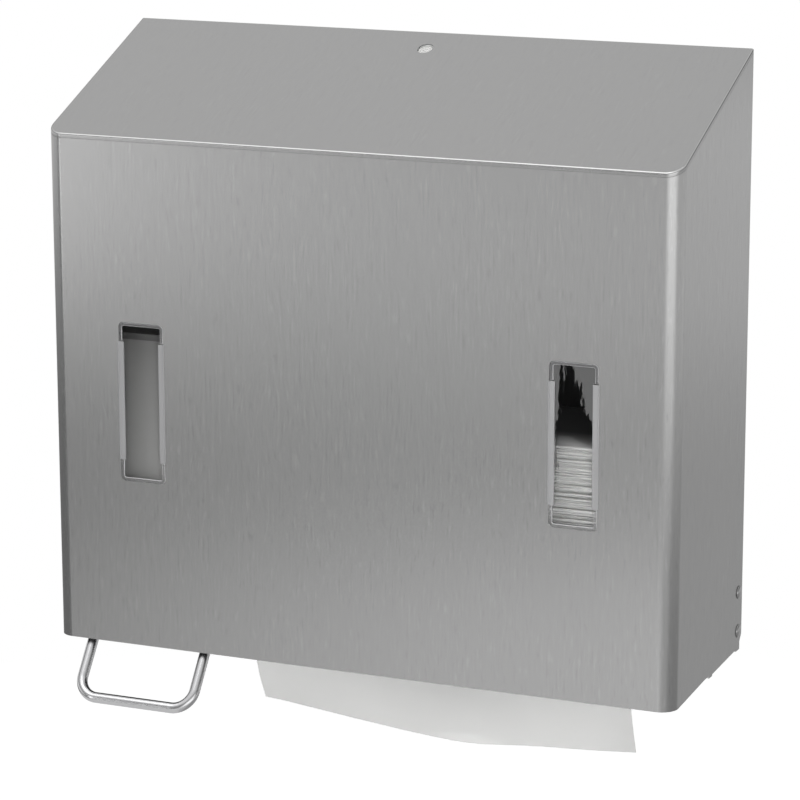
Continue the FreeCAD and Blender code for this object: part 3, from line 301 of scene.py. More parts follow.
    def cut(self, *others: "Shape") -> "Shape":
        """Take other shapes away from this one."""
        return self.combine("DIFFERENCE", others)

    def fuse(self, *others: "Shape") -> "Shape":
        """Weld other shapes to this one."""
        return self.combine("UNION", others)

    def gather(self, *others: "Shape") -> "Shape":
        """Join other shapes to this one as loose parts of the same mesh."""
        self.activate()
        for other in others:
            other.obj.select_set(True)
        bpy.ops.object.join()
        return self

    def transform(self, matrix: Matrix) -> "Shape":
        """Move the mesh by a matrix in the frame's metres and keep the object at the origin."""
        self.activate()
        self.obj.matrix_world = matrix
        bpy.ops.object.transform_apply(location=True, rotation=True, scale=True)
        return self

    def copy(self, name: str) -> "Shape":
        """Copy the shape with its own mesh."""
        twin = self.obj.copy()
        twin.data = self.obj.data.copy()
        bpy.context.scene.collection.objects.link(twin)
        return Shape(twin, name)

    def soften(self, width: float = 0.2, segments: int = 2, angle: float = 32.0) -> "Shape":
        """Break the sharp edges with a small bevel and shade the rest smooth."""
        self.modify("BEVEL", width=width * MM, segments=segments, limit_method="ANGLE",
                    angle_limit=math.radians(angle), use_clamp_overlap=True, miter_outer="MITER_ARC")
        return self.shade()

    def shade(self, angle: float = 40.0) -> "Shape":
        """Shade smooth up to an angle, with the normals led by the larger faces."""
        self.activate()
        bpy.ops.object.shade_smooth_by_angle(angle=math.radians(angle))
        return self.modify("WEIGHTED_NORMAL", keep_sharp=True, weight=80)

    def dress(self, material: bpy.types.Material) -> "Shape":
        """Give the whole shape one material."""
        self.obj.data.materials.clear()
        self.obj.data.materials.append(material)
        return self

    def paint(self, material: bpy.types.Material, test: Test) -> "Shape":
        """Give some faces another material."""
        self.obj.data.materials.append(material)
        self.select("FACE", test)
        self.obj.active_material_index = len(self.obj.data.materials) - 1
        bpy.ops.object.material_slot_assign()
        self.leave()
        return self

    def deliver(self, body: Body, slot: str, node: str) -> None:
        """Hand the finished piece to its body.

        Args:
            body: The body that it moves with.
            slot: The record's material slot; not used.
            node: The node that it stands for.
        """
        clear_selection()
        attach(self.obj, body.value)
        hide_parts(node)
        LOG.info("%s: %d faces on %s", self.obj.name, len(self.obj.data.polygons), body.value)


class Nodes:
    """A small writer for one node tree."""

    def __init__(self, tree: bpy.types.NodeTree) -> None:
        """Start on an empty tree."""
        self.tree = tree
        tree.nodes.clear()

    def add(self, kind: str, inputs: Inputs | None = None,
            **settings: object) -> bpy.types.Node:
        """Add a node, set its properties, and set or link its inputs.

        Args:
            kind: The node's type without the ShaderNode prefix.
            inputs: Values or output sockets by input name or number.
            settings: The node's own properties.

        Returns:
            The new node.
        """
        node = self.tree.nodes.new("ShaderNode" + kind if kind[:4] != "Node" else kind)
        for key, value in settings.items():
            setattr(node, key, value)
        for key, value in (inputs or {}).items():
            if isinstance(value, Socket):
                self.tree.links.new(value, node.inputs[key])
            else:
                node.inputs[key].default_value = value
        return node

    def math(self, operation: str, *values: Socket | float) -> Socket:
        """Add one Math node."""
        return self.add("Math", dict(enumerate(values)), operation=operation).outputs[0]

    def vector(self, operation: str, *values: Socket | Point) -> Socket:
        """Add one Vector Math node with a vector for its result."""
        return self.add("VectorMath", dict(enumerate(values)), operation=operation).outputs[0]

    def span(self, value: Socket, old: Pair, new: Pair = (0.0, 1.0),
             **settings: object) -> Socket:
        """Turn one range of a value into another."""
        return self.add("MapRange", {"Value": value, "From Min": old[0], "From Max": old[1],
                                     "To Min": new[0], "To Max": new[1]}, **settings).outputs[0]

    def mix(self, share: Socket | float, low: Socket | float, high: Socket | float) -> Socket:
        """Blend two greys."""
        return self.add("Mix", {0: share, 2: low, 3: high}).outputs[0]

    def noise(self, where: Socket, scale: Socket | float, detail: float = 2.0,
              roughness: float = 0.5) -> Socket:
        """Add one noise texture."""
        return self.add("TexNoise", {"Vector": where, "Scale": scale, "Detail": detail,
                                     "Roughness": roughness}).outputs[0]

    def grain(self, where: Socket, scale: float) -> bpy.types.NodeOutputs:
        """Add the moulded grain and hand over its Grain and Cloud outputs."""
        return self.add("Group", {"Vector": where, "Scale": scale}, node_tree=speckle()).outputs

    def fade(self, colour: Socket, place_on: Socket, ends: Pair, share: float) -> Socket:
        """Paint shade: darken a colour to a share of itself between two places along an axis, in metres."""
        amount = self.span(place_on, ends, (1.0, share))
        return self.add("VectorMath", {0: colour, 3: amount}, operation="SCALE").outputs[0]

    def bump(self, height: Socket, strength: float, distance: float = 0.0001) -> Socket:
        """Add one Bump node."""
        return self.add("Bump", {"Strength": strength, "Distance": distance, "Height": height}).outputs[0]


def group_of(name: str, inputs: Sequence[tuple[str, str]], outputs: Sequence[str],
             build: Callable[[Nodes, bpy.types.NodeOutputs], dict[str, Socket]]) -> bpy.types.NodeTree:
    """Make a shader node group once.

    Args:
        name: The group's name.
        inputs: (name, socket type) of each input.
        outputs: The name of each output, all of them numbers.
        build: Takes the inputs, writes the nodes and returns the socket for each output.

    Returns:
        The group's tree.
    """
    if name in bpy.data.node_groups:
        return bpy.data.node_groups[name]
    tree = bpy.data.node_groups.new(name, "ShaderNodeTree")
    for label, kind in inputs:
        tree.interface.new_socket(label, in_out="INPUT", socket_type=kind)
    for label in outputs:
        tree.interface.new_socket(label, in_out="OUTPUT", socket_type="NodeSocketFloat")
    nodes = Nodes(tree)
    nodes.add("NodeGroupOutput", build(nodes, nodes.add("NodeGroupInput").outputs))
    return tree


def streaks() -> bpy.types.NodeTree:
    """Node group: brush strokes along Z of the coordinates, scattered short dashes, and a slow cloud."""

    def build(nodes: Nodes, given: bpy.types.NodeOutputs) -> dict[str, Socket]:
        """Write the nodes: fine and coarse strokes, then the dashes where a third noise is far from even."""

        def stroke(across: float, along: float) -> Socket:
            """Noise drawn out along Z."""
            return nodes.noise(nodes.vector("MULTIPLY", given["Vector"], (across, across, along)), 1.0)

        both = nodes.mix(0.35, stroke(1700.0, 60.0), stroke(520.0, 22.0))
        rare = stroke(620.0, 95.0)
        dark, light = nodes.span(rare, (0.40, 0.30)), nodes.span(rare, (0.60, 0.70))
        total = nodes.math("MULTIPLY_ADD", nodes.math("SUBTRACT", light, dark), 0.6, both)
        return {"Streak": total, "Cloud": nodes.noise(given["Vector"], 9.0)}

    return group_of("Brush strokes", [("Vector", "NodeSocketVector")], ["Streak", "Cloud"], build)


def speckle() -> bpy.types.NodeTree:
    """Node group: a fine even grain and a slow cloud, for moulded and rubber parts."""

    def build(nodes: Nodes, given: bpy.types.NodeOutputs) -> dict[str, Socket]:
        """Write the nodes."""
        return {"Grain": nodes.noise(given["Vector"], given["Scale"], 4.0, 0.65),
                "Cloud": nodes.noise(given["Vector"], 26.0)}

    return group_of("Moulded grain", [("Vector", "NodeSocketVector"), ("Scale", "NodeSocketFloat")],
                    ["Grain", "Cloud"], build)


@dataclass(frozen=True)
class Finish:
    """What all finishes share."""

    name: str
    colour: Point
    roughness: float = 0.4

    def build(self) -> bpy.types.Material:
        """Make the material from the shader's inputs that the finish works out."""
        material = bpy.data.materials.new(self.name)
        material.use_nodes = True
        nodes = Nodes(material.node_tree)
        where = nodes.add("TexCoord").outputs["Object"]
        shader = nodes.add("BsdfPrincipled", self.inputs(nodes, where))
        nodes.add("OutputMaterial", {"Surface": shader.outputs[0]})
        return material

    def inputs(self, nodes: Nodes, where: Socket) -> Inputs:
        """Work out the shader's inputs.

        Args:
            nodes: The material's node writer.
            where: The object coordinates.

        Returns:
            Values and sockets by the shader's input names.
        """
        raise NotImplementedError

    def shades(self, nodes: Nodes, mask: Socket, spread: float) -> Socket:
        """The finish's colour, made darker and lighter by a share as the mask goes from 0 to 1."""
        dark = tuple(c * (1 - spread) for c in self.colour) + (1.0,)
        light = tuple(min(1.0, c * (1 + spread)) for c in self.colour) + (1.0,)
        return nodes.add("Mix", {0: mask, 6: dark, 7: light}, data_type="RGBA").outputs[2]


class Grain(Enum):
    """The way in which a steel sheet was brushed, as a turn round X that brings it to Z."""

    UPRIGHT = 0.0
    DOWN_THE_SLOPE = math.radians(90 - 23.04)


@dataclass(frozen=True)
class BrushedSteel(Finish):
    """Stainless sheet with brush strokes in one direction."""

    grain: Grain = Grain.UPRIGHT
    anisotropy: float = 0.7
    spread: float = 0.066
    relief: float = 0.002
    rough_spread: float = 0.005
    cloud_spread: float = 0.01

    def inputs(self, nodes: Nodes, where: Socket) -> Inputs:
        """Strokes in colour, roughness and relief, and highlights that are drawn out across them."""
        sloping = self.grain is Grain.DOWN_THE_SLOPE
        turned = nodes.add("Mapping", {"Vector": where, "Rotation": (self.grain.value, 0.0, 0.0)}).outputs[0]
        brush = nodes.add("Group", {"Vector": turned}, node_tree=streaks()).outputs
        rough = nodes.span(brush["Streak"], (0.3, 0.7),
                           (self.roughness - self.rough_spread, self.roughness + self.rough_spread))
        cloudy = nodes.span(brush["Cloud"], (0.0, 1.0), (-self.cloud_spread, self.cloud_spread))
        tangent = nodes.add("Tangent", direction_type="RADIAL", axis="X" if sloping else "Z").outputs[0]
        return {"Base Color": self.shades(nodes, brush["Streak"], self.spread),
                "Roughness": nodes.math("ADD", rough, cloudy), "Metallic": 1.0,
                "Anisotropic": self.anisotropy, "Anisotropic Rotation": 0.25 if sloping else 0.0,
                "Tangent": tangent, "Normal": nodes.bump(brush["Streak"], self.relief, 0.0002)}


@dataclass(frozen=True)
class PlainMetal(Finish):
    """Turned, drawn or polished metal with faint tool marks."""

    relief: float = 0.04

    def inputs(self, nodes: Nodes, where: Socket) -> Inputs:
        """A faint cloud in colour and roughness."""
        grain = nodes.grain(where, 1400.0)
        return {"Base Color": self.shades(nodes, grain["Cloud"], 0.05), "Metallic": 1.0,
                "Roughness": nodes.span(grain["Cloud"], (0.0, 1.0),
                                        (self.roughness * 0.8, self.roughness * 1.25)),
                "Normal": nodes.bump(grain["Grain"], self.relief)}


@dataclass(frozen=True)
class Moulded(Finish):
    """Moulded plastic or rubber with a fine grain."""

    relief: float = 0.12
    alpha: float = 1.0

    def inputs(self, nodes: Nodes, where: Socket) -> Inputs:
        """A faint cloud in colour and roughness, and the grain in the relief."""
        grain = nodes.grain(where, 1100.0)
        return {"Base Color": self.shades(nodes, grain["Cloud"], 0.04), "Alpha": self.alpha,
                "Roughness": nodes.span(grain["Cloud"], (0.0, 1.0),
                                        (self.roughness - 0.04, self.roughness + 0.05)),
                "Normal": nodes.bump(grain["Grain"], self.relief)}


@dataclass(frozen=True)
class Paper(Finish):
    """Soft towel paper with fibres and a faint cloudy tone, with painted shade towards the wall if asked for.
    """

    rear_painted_shade: float = 1.0
    fade: Pair = (-112.0, -84.0)

    def inputs(self, nodes: Nodes, where: Socket) -> Inputs:
        """Fibres in relief and roughness, and the colour with its painted shade along Y."""
        grain = nodes.grain(where, 700.0)
        depth = nodes.add("SeparateXYZ", {0: where}).outputs["Y"]
        near, far = (y * MM for y in self.fade)
        shaded = nodes.fade(self.shades(nodes, grain["Cloud"], 0.025), depth, (near, far), self.rear_painted_shade)
        return {"Base Color": shaded, "Specular IOR Level": 0.3,
                "Roughness": nodes.span(grain["Grain"], (0.0, 1.0),
                                        (self.roughness - 0.03, self.roughness + 0.03)),
                "Normal": nodes.bump(grain["Grain"], 0.25, 0.0002)}


@dataclass(frozen=True)
class Milky(Finish):
    """Milky tank plastic with painted shade that darkens it towards its top."""

    heights: Pair = (95.0, 198.0)
    top_painted_shade: float = 0.55

    def inputs(self, nodes: Nodes, where: Socket) -> Inputs:
        """The colour with its painted shade upwards, and a fine grain in the relief."""
        grain = nodes.grain(where, 900.0)
        height = nodes.add("SeparateXYZ", {0: where}).outputs["Z"]
        low, high = ((z - ORIGIN_Z) * MM for z in self.heights)
        colour = nodes.fade(self.shades(nodes, grain["Cloud"], 0.03), height, (low, high), self.top_painted_shade)
        return {"Base Color": colour, "Roughness": self.roughness, "Normal": nodes.bump(grain["Grain"], 0.1)}


@dataclass(frozen=True)
class RaggedPatch(Finish):
    """A ragged grey patch on clear plastic that ends in streaks downwards."""

    start_z: float = 203.5
    end_z: float = 163.0
    middle: float = 143.5
    middle_z: float = 180.0
    lean: float = 0.14
    clear: float = 0.012
    full: float = 0.92

    def inputs(self, nodes: Nodes, where: Socket) -> Inputs:
        """A mask from noise that thins out downwards and towards the middle."""
        here = nodes.add("SeparateXYZ", {0: where}).outputs
        high = nodes.span(here["Z"], ((self.end_z - ORIGIN_Z) * MM, (self.start_z - ORIGIN_Z) * MM),
                          (-0.30, 0.13), clamp=False)
        upright = nodes.math("MULTIPLY_ADD", here["Z"], self.lean, here["X"])
        centre = self.middle * MM + self.lean * (self.middle_z - ORIGIN_Z) * MM
        aside = nodes.math("ABSOLUTE", nodes.math("SUBTRACT", upright, centre))
        aside = nodes.span(aside, (0.003, 0.0105), (-0.20, 0.16), clamp=False)
        noise = nodes.noise(nodes.vector("MULTIPLY", where, (330.0, 330.0, 60.0)), 1.0, 4.0, 0.6)
        total = nodes.math("ADD", nodes.math("ADD", noise, high), aside)
        return {"Base Color": self.colour + (1.0,), "Roughness": self.roughness,
                "Alpha": nodes.span(total, (0.47, 0.51), (self.clear, self.full))}


@dataclass
class Finishes:
    """Every finish of the dispenser, built once."""

    made: dict[str, bpy.types.Material] = field(default_factory=dict)

    def __post_init__(self) -> None:
        """Build all materials."""
        plans = {
            "hood": BrushedSteel("Hood steel, brushed upright", (0.44, 0.44, 0.438), 0.19),
            "top": BrushedSteel("Hood top steel, brushed down the slope", (0.435, 0.435, 0.433), 0.22,
                                Grain.DOWN_THE_SLOPE, 0.6, 0.03, 0.001),
            # A brighter steel on the rounded lip: painted highlight.
            "lip": BrushedSteel("Hood lip steel, painted highlight", (0.58, 0.58, 0.578), 0.22),
            # A darker steel for the sheets inside the hood: painted shade.
            "inner": BrushedSteel("Inner sheet steel, painted shade", (0.30, 0.305, 0.31), 0.36, anisotropy=0.3),
            # The same steel lighter, for faces at the wall that carry no painted shade.
            "wall_side": BrushedSteel("Plate steel at the wall, without painted shade", (0.43, 0.43, 0.43), 0.34, anisotropy=0.3),
            "cut_edge": PlainMetal("Cut sheet edge", (0.50, 0.50, 0.50), 0.35),
            "rivet": PlainMetal("Rivet metal", (0.46, 0.46, 0.46), 0.26),
            "pin": PlainMetal("Turned steel", (0.50, 0.50, 0.50), 0.28),
            "bow": PlainMetal("Polished rod steel", (0.66, 0.66, 0.67), 0.2, relief=0.0),
            "spring": PlainMetal("Spring wire", (0.45, 0.45, 0.45), 0.25),
            "window": Moulded("Clear window plastic", (0.04, 0.04, 0.04), 0.08, relief=0.0, alpha=0.02),
            "rim": Moulded("Window rim plastic", (0.32, 0.32, 0.325), 0.25, relief=0.02, alpha=0.4),
            # A light plastic for the insert's edges: painted highlight.
            "edge": Moulded("Window edge plastic, painted highlight", (0.78, 0.78, 0.79), 0.3, relief=0.02, alpha=0.7),
            "clip": Moulded("Window clip plastic", (0.30, 0.30, 0.305), 0.3, relief=0.02),
            # A ragged grey patch over part of the towel window's face.
            "film": RaggedPatch("Ragged grey patch inside the window", (0.10, 0.10, 0.10), 0.5),
            # The tank's colour darkens towards its top as painted shade.
            "tank": Milky("Tank plastic", (0.31, 0.31, 0.305), 0.45),
            # A dark plastic for the lid's front rim: painted shade.
            "lid": Moulded("Tank lid rim plastic, painted shade", (0.072, 0.072, 0.071), 0.4),
            "pump": Moulded("Pump plastic", (0.80, 0.80, 0.78), 0.38),
            "rocker": Moulded("Rocker plastic", (0.10, 0.10, 0.105), 0.42),
            "lock": Moulded("Lock housing plastic", (0.72, 0.72, 0.71), 0.42),
            "latch": Moulded("Latch plastic", (0.70, 0.70, 0.69), 0.4),
            "rubber": Moulded("Seal rubber", (0.05, 0.05, 0.05), 0.6, relief=0.2),
            "paper": Paper("Towel paper", (0.80, 0.80, 0.79), 0.85),
            # Darker paper for the stack's front faces: painted shade.
            "fold": Paper("Towel folds", (0.56, 0.56, 0.555), 0.85),
            # Darker paper for the stack's top, with more painted shade towards the wall.
            "crown": Paper("Towel stack top", (0.56, 0.56, 0.555), 0.85, rear_painted_shade=0.2),
        }
        self.made = {key: plan.build() for key, plan in plans.items()}

    def __getitem__(self, key: str) -> bpy.types.Material:
        """The material of a finish by its short name."""
        return self.made[key]


@dataclass
class Hood:
    """The hood: wrapped front and sides, and the sloping top with its lip, skirt and key slot."""

    finishes: Finishes
    width: float = 417.0
    depth: float = 134.0
    front_height: float = 326.0
    back_height: float = 383.0
    sheet: float = 1.0
    bend: float = 10.8
    wall_gap: float = 0.5
    lip: float = 2.4
    lip_round: float = 1.0
    seam: float = 0.07
    skirt: float = 12.0
    slot_from_back: float = 20.5
    slot_length: float = 11.0
    slot_width: float = 9.6
    shell_blank: Pair = (-2.0, 400.0)
    top_blank: Pair = (300.0, 420.0)
    skirt_low: float = 280.0
    side_edge: Line = (
        (-200, 0), (-123, 0), (-73, 3.3), (-64.2, 3.3), (-64.2, 1.6), (-58, 1.6), (-58, 3.3), (-11, 5.5),
        (-11, 3.5), (-4, 3.5), (-4, 8.7), (0, 13.5), (10, 13.5), (10, -20), (-200, -20))
    strip_y: Pair = (-58.0, -11.0)
    strip_z: float = 1.3
    strip_rise: float = 2.2
    strip_reach: float = 5.0
    strip_bend: float = 2.0
    window_x: float = 144.0
    window_low: float = 107.5
    window_high: float = 209.5
    window_width: float = 31.0
    window_round: float = 3.0
    tab_low: float = 121.0
    tab_high: float = 197.3
    tab_width: float = 3.3

    @property
    def slope(self) -> float:
        """Angle of the top in radians."""
        return math.atan2(self.back_height - self.front_height, self.depth)

    def on_slope(self, along: float = 0.0) -> Matrix:
        """Matrix from the top's own frame (X right, Y up the slope, Z outwards) to the frame."""
        at = place(0, -along * math.cos(self.slope), self.back_height - along * math.sin(self.slope))
        back = Matrix.Translation(-place(0, 0, 0))
        return Matrix.Translation(at) @ Matrix.Rotation(self.slope, 4, "X") @ back

    def slope_plane(self, outwards: float) -> tuple[Vector, Vector]:
        """A point and the outward normal of a plane parallel to the top."""
        normal = Vector((0, -math.sin(self.slope), math.cos(self.slope)))
        return place(0, 0, self.back_height) + normal * (outwards * MM), normal

    def outline(self, name: str, inset: float, low: float, high: float, rear: float | None = None) -> Shape:
        """A block over the hood's plan with the two front bends, set in by some millimetres."""
        half = self.width / 2 - inset
        front = -self.depth + inset
        back = -self.wall_gap if rear is None else rear
        block = Shape.block(name, (-half, front, low), (half, back, high))
        return block.round_edges(
            lambda a, b: abs(a.z - b.z) > 1 and a.y < front + 0.1 and b.y < front + 0.1,
            self.bend - inset, 18)

    def window_outline(self, middle: float, inset: float) -> list[Pair]:
        """The opening's outline in X and Z: narrower between the side tabs."""
        wide = self.window_width / 2 - inset
        narrow = wide - self.tab_width
        low, high = self.window_low + inset, self.window_high - inset
        tab_low, tab_high = self.tab_low - inset, self.tab_high + inset
        right = [(wide, low), (wide, tab_low), (narrow, tab_low), (narrow, tab_high), (wide, tab_high),
                 (wide, high)]
        left = [(-x, z) for x, z in reversed(right)]
        return [(middle + x, z) for x, z in right + left]

    def window_cutter(self, name: str, middle: float, y0: float, y1: float, inset: float) -> Shape:
        """A prism over the window's outline with rounded outer corners."""
        cutter = Shape.prism(name, self.window_outline(middle, inset), Axis.Y, y0, y1)
        wide = self.window_width / 2 - inset
        ends = (self.window_low + inset, self.window_high - inset)

        def outer_corner(a: Vector, b: Vector) -> bool:
            """True for the four edges through the sheet at the outline's ends."""
            along = abs(a.y - b.y) > 0.1
            at_side = abs(abs(a.x - middle) - wide) < 0.05
            return along and at_side and min(abs(a.z - end) for end in ends) < 0.05

        return cutter.round_edges(outer_corner, self.window_round - inset, 5)

    def front_and_sides(self) -> Shape:
        """Front and both sides from one sheet, with the windows, the lower edges and the turned-in strips."""
        low, high = self.shell_blank
        shell = self.outline("hood_front_and_sides", 0, low, high)
        shell.cut(self.outline("room_inside", self.sheet, low - SPARE, high + SPARE, SPARE))
        point, normal = self.slope_plane(-self.lip - self.seam)
        shell.slice(point, normal)
        shell.cut(Shape.prism("under", self.side_edge, Axis.X, -self.width, self.width))
        for side in (-1, 1):
            shell.fuse(self.turned_in_strip(side))
        for middle in (-self.window_x, self.window_x):
            shell.cut(self.window_cutter("opening", middle, -self.depth - SPARE, -self.depth + SPARE, 0))
        return shell.soften(0.16, 2)

    def turned_in_strip(self, side: int) -> Shape:
        """The folded-in strip along the rear of one side's lower edge, which rises towards the wall."""
        outer = side * self.width / 2
        quarter = [math.radians(15 * i) for i in range(7)]

        def corner(radius: float, turn: float) -> Pair:
            """A point of the bend: in from the sheet's outer face, and up."""
            return self.strip_bend - radius * math.sin(turn), self.strip_bend - radius * math.cos(turn)

        inner = self.strip_bend - self.sheet
        profile = [corner(self.strip_bend, turn) for turn in reversed(quarter)]
        profile += [(self.strip_reach, 0.0), (self.strip_reach, self.sheet)]
        profile += [corner(inner, turn) for turn in quarter]
        corners = [(outer - side * a, self.strip_z + b) for a, b in profile]
        front, rear = self.strip_y
        strip = Shape.prism("turned_in_strip", corners, Axis.Y, front, rear)
        shear = Matrix.Identity(4)
        shear[2][1] = self.strip_rise / (rear - front)
        at = place(0, front, 0)
        strip.obj.data.transform(Matrix.Translation(at) @ shear @ Matrix.Translation(-at))
        return strip

    def sloping_top(self) -> Shape:
        """The top plate with its rounded lip, the skirt inside the shell and the key slot."""
        low, high = self.top_blank
        top = self.outline("hood_sloping_top", 0, low, high)
        skirt = self.outline("skirt", self.sheet, self.skirt_low, high)
        hollow = self.outline("hollow", 2 * self.sheet, self.skirt_low - SPARE, high + SPARE, SPARE)
        point, normal = self.slope_plane(0)
        top.slice(point, normal)
        point, _ = self.slope_plane(-self.lip)
        top.slice(point, -normal)
        point, _ = self.slope_plane(-self.sheet / 2)
        skirt.slice(point, normal)
        point, _ = self.slope_plane(-self.skirt)
        skirt.slice(point, -normal)
        point, _ = self.slope_plane(-self.sheet)
        hollow.slice(point, normal)
        top.fuse(skirt)
        top.cut(hollow)
        top.round_edges(self.is_top_rim, self.lip_round, 4)
        top.cut(self.key_slot())
        return top.soften(0.12, 2)

    def height_over_top(self, point: Vector) -> float:
        """How far a drawn point lies outwards of the top's surface."""
        return -point.y * math.sin(self.slope) + (point.z - self.back_height) * math.cos(self.slope)

    def is_top_rim(self, a: Vector, b: Vector) -> bool:
        """True for the edges round the top's surface, apart from the one at the wall."""
        on_top = abs(self.height_over_top(a)) < 0.02 and abs(self.height_over_top(b)) < 0.02
        return on_top and min(a.y, b.y) < -self.wall_gap - 0.1

    def key_slot(self) -> Shape:
        """The oval cutter for the key slot."""
        half = self.slot_width / 2
        long = self.slot_length / 2
        slot = Shape.block("key_slot", (-half, -long, -SPARE), (half, long, SPARE))
        slot.round_edges(lambda a, b: abs(a.z - b.z) > 1, half - 0.01, 10)
        return slot.transform(self.on_slope(self.slot_from_back))

    def is_slot_wall(self, centre: Vector, normal: Vector) -> bool:
        """True for the faces of the sheet's thickness round the key slot."""
        middle = drawn(self.on_slope(self.slot_from_back) @ place(0, 0, 0))
        across = abs(normal.dot(self.slope_plane(0)[1])) < 0.5
        return across and (centre - middle).length < self.slot_length / 2 + self.sheet

    def build(self) -> None:
        """Make and hand over the hood's two sheets."""
        self.front_and_sides().dress(self.finishes["hood"]).deliver(Body.HOOD, "hood_steel", "hood_shell")
        top = self.sloping_top().dress(self.finishes["top"])
        # The rounded lip's faces get the brighter steel: painted highlight.
        top.paint(self.finishes["lip"], lambda c, n: n.y < -0.3 and 0.12 < n.z < 0.88)
        # The key slot's walls get the darker inner steel: painted shade.
        top.paint(self.finishes["inner"], self.is_slot_wall)
        top.deliver(Body.HOOD, "hood_steel", "hood_top")


@dataclass
class LevelWindow:
    """One clear insert: a flange behind the sheet, a face that fills the opening and two side clips."""

    finishes: Finishes
    hood: Hood
    name: str
    node: str
    middle: float
    patched: bool = False
    clearance: float = 0.25
    flange: float = 3.0
    rim: float = 2.2
    rear_y: float = -131.8
    flange_y: float = -133.0
    recess_y: float = -133.55
    face_y: float = -133.9
    dish_y: float = -132.6
    clip_gap: float = 0.2
    clip: Line = (
        (16.15, -133.9), (16.1, -134.2), (15.9, -134.34), (15.6, -134.34), (15.45, -134.12), (15.25, -134.12),
        (15.1, -134.34), (12.5, -134.34), (12.1, -134.22), (11.95, -133.9))

    def build(self) -> None:
        """Make and hand over the insert."""
        hood = self.hood
        half = hood.window_width / 2 + self.flange
        low, high = hood.window_low - self.flange, hood.window_high + self.flange
        insert = Shape.block(self.name, (self.middle - half, self.flange_y, low),
                             (self.middle + half, self.rear_y, high))
        insert.round_edges(lambda a, b: abs(a.y - b.y) > 0.5, 2 * self.flange, 6)
        insert.fuse(hood.window_cutter("pad", self.middle, self.face_y, self.dish_y + 0.2, self.clearance))
        inner = hood.window_width / 2 - self.rim
        insert.cut(self.hollow("recess", inner, self.rim, self.face_y - SPARE, self.recess_y, 1.2))
        insert.cut(self.hollow("dish", inner - 3.3, 5.5, self.dish_y, self.rear_y + SPARE, 1.5))
        insert.round_edges(lambda a, b: max(a.y, b.y) < self.face_y + 0.1, 0.46, 3)
        insert.soften(0.1, 2)
        insert.dress(self.finishes["window"])
        near = self.recess_y
        insert.paint(self.finishes["rim"], lambda c, n: c.y < near - 0.03 and n.y < -0.95)
        # The edge faces round the face get the light plastic: painted highlight.
        insert.paint(self.finishes["edge"], lambda c, n: c.y < near + 0.13 and abs(n.y) < 0.95)
        if self.patched:
            insert.paint(self.finishes["film"], lambda c, n: abs(c.y - near) < 0.05 and n.y < -0.95)
        insert.gather(self.side_clip(-1), self.side_clip(1))
        insert.deliver(Body.HOOD, "window_plastic", self.node)

    def hollow(self, name: str, half: float, edge: float, y0: float, y1: float, rounding: float) -> Shape:
        """A rounded block that is cut out of the insert, some millimetres in from the opening's ends."""
        block = Shape.block(name, (self.middle - half, y0, self.hood.window_low + edge),
                            (self.middle + half, y1, self.hood.window_high - edge))
        return block.round_edges(lambda a, b: abs(a.y - b.y) > 0.5, rounding, 4)

    def side_clip(self, side: int) -> Shape:
        """The thin grooved lip that grips the sheet's side tab."""
        corners = [(self.middle + side * x, y) for x, y in self.clip]
        low, high = self.hood.tab_low + self.clip_gap, self.hood.tab_high - self.clip_gap
        strip = Shape.prism(f"clip_{side}", corners, Axis.Z, low, high)
        strip.soften(0.08, 2, 50)
        return strip.dress(self.finishes["clip"])


@dataclass
class LeverBow:
    """The polished rod: two arms, two bends and the bar that is pushed."""

    finishes: Finishes
    radius: float = 3.5
    middle_x: float = -147.0
    spacing: float = 80.0
    axle_y: float = -107.5
    axle_z: float = 22.0
    lean: float = 53.9
    bar_below: float = 34.0
    bend: float = 13.2
    start: float = 8.0

    def build(self) -> None:
        """Extrude and spin the rod along its path and hand it over."""
        lean = math.radians(self.lean)
        way = Vector((0, -math.cos(lean), -math.sin(lean)))
        length = (self.axle_z + self.bar_below) / math.sin(lean)
        left = self.middle_x - self.spacing / 2
        first = place(left, self.axle_y, self.axle_z) + way * (self.start * MM)
        clear_selection()
        turn = (-way).to_track_quat("Z", "X").to_euler()
        bpy.ops.mesh.primitive_circle_add(vertices=40, radius=self.radius * MM, location=first, rotation=turn,
                                          fill_type="NGON")
        bpy.ops.object.transform_apply(location=True, rotation=True, scale=True)
        rod = Shape(bpy.context.object, "lever_bow_rod")
        across = Vector((1, 0, 0))
        arm = way * ((length - self.bend - self.start) * MM)
        bar = across * ((self.spacing - 2 * self.bend) * MM)
        centre = first + arm + across * (self.bend * MM)
        rod.enter()
        bpy.ops.mesh.extrude_region_move(TRANSFORM_OT_translate={"value": arm})
        bpy.ops.mesh.spin(steps=20, angle=-math.pi / 2, center=centre, axis=way.cross(across))
        bpy.ops.mesh.extrude_region_move(TRANSFORM_OT_translate={"value": bar})
        bpy.ops.mesh.spin(steps=20, angle=-math.pi / 2, center=centre + bar, axis=way.cross(across))
        bpy.ops.mesh.extrude_region_move(TRANSFORM_OT_translate={"value": -arm})
        bpy.ops.mesh.select_all(action="SELECT")
        bpy.ops.mesh.remove_doubles(threshold=1e-6)
        rod.turn_outwards()
        rod.shade(60)
        rod.dress(self.finishes["bow"]).deliver(Body.LEVER, "bow_steel", "lever_bow")


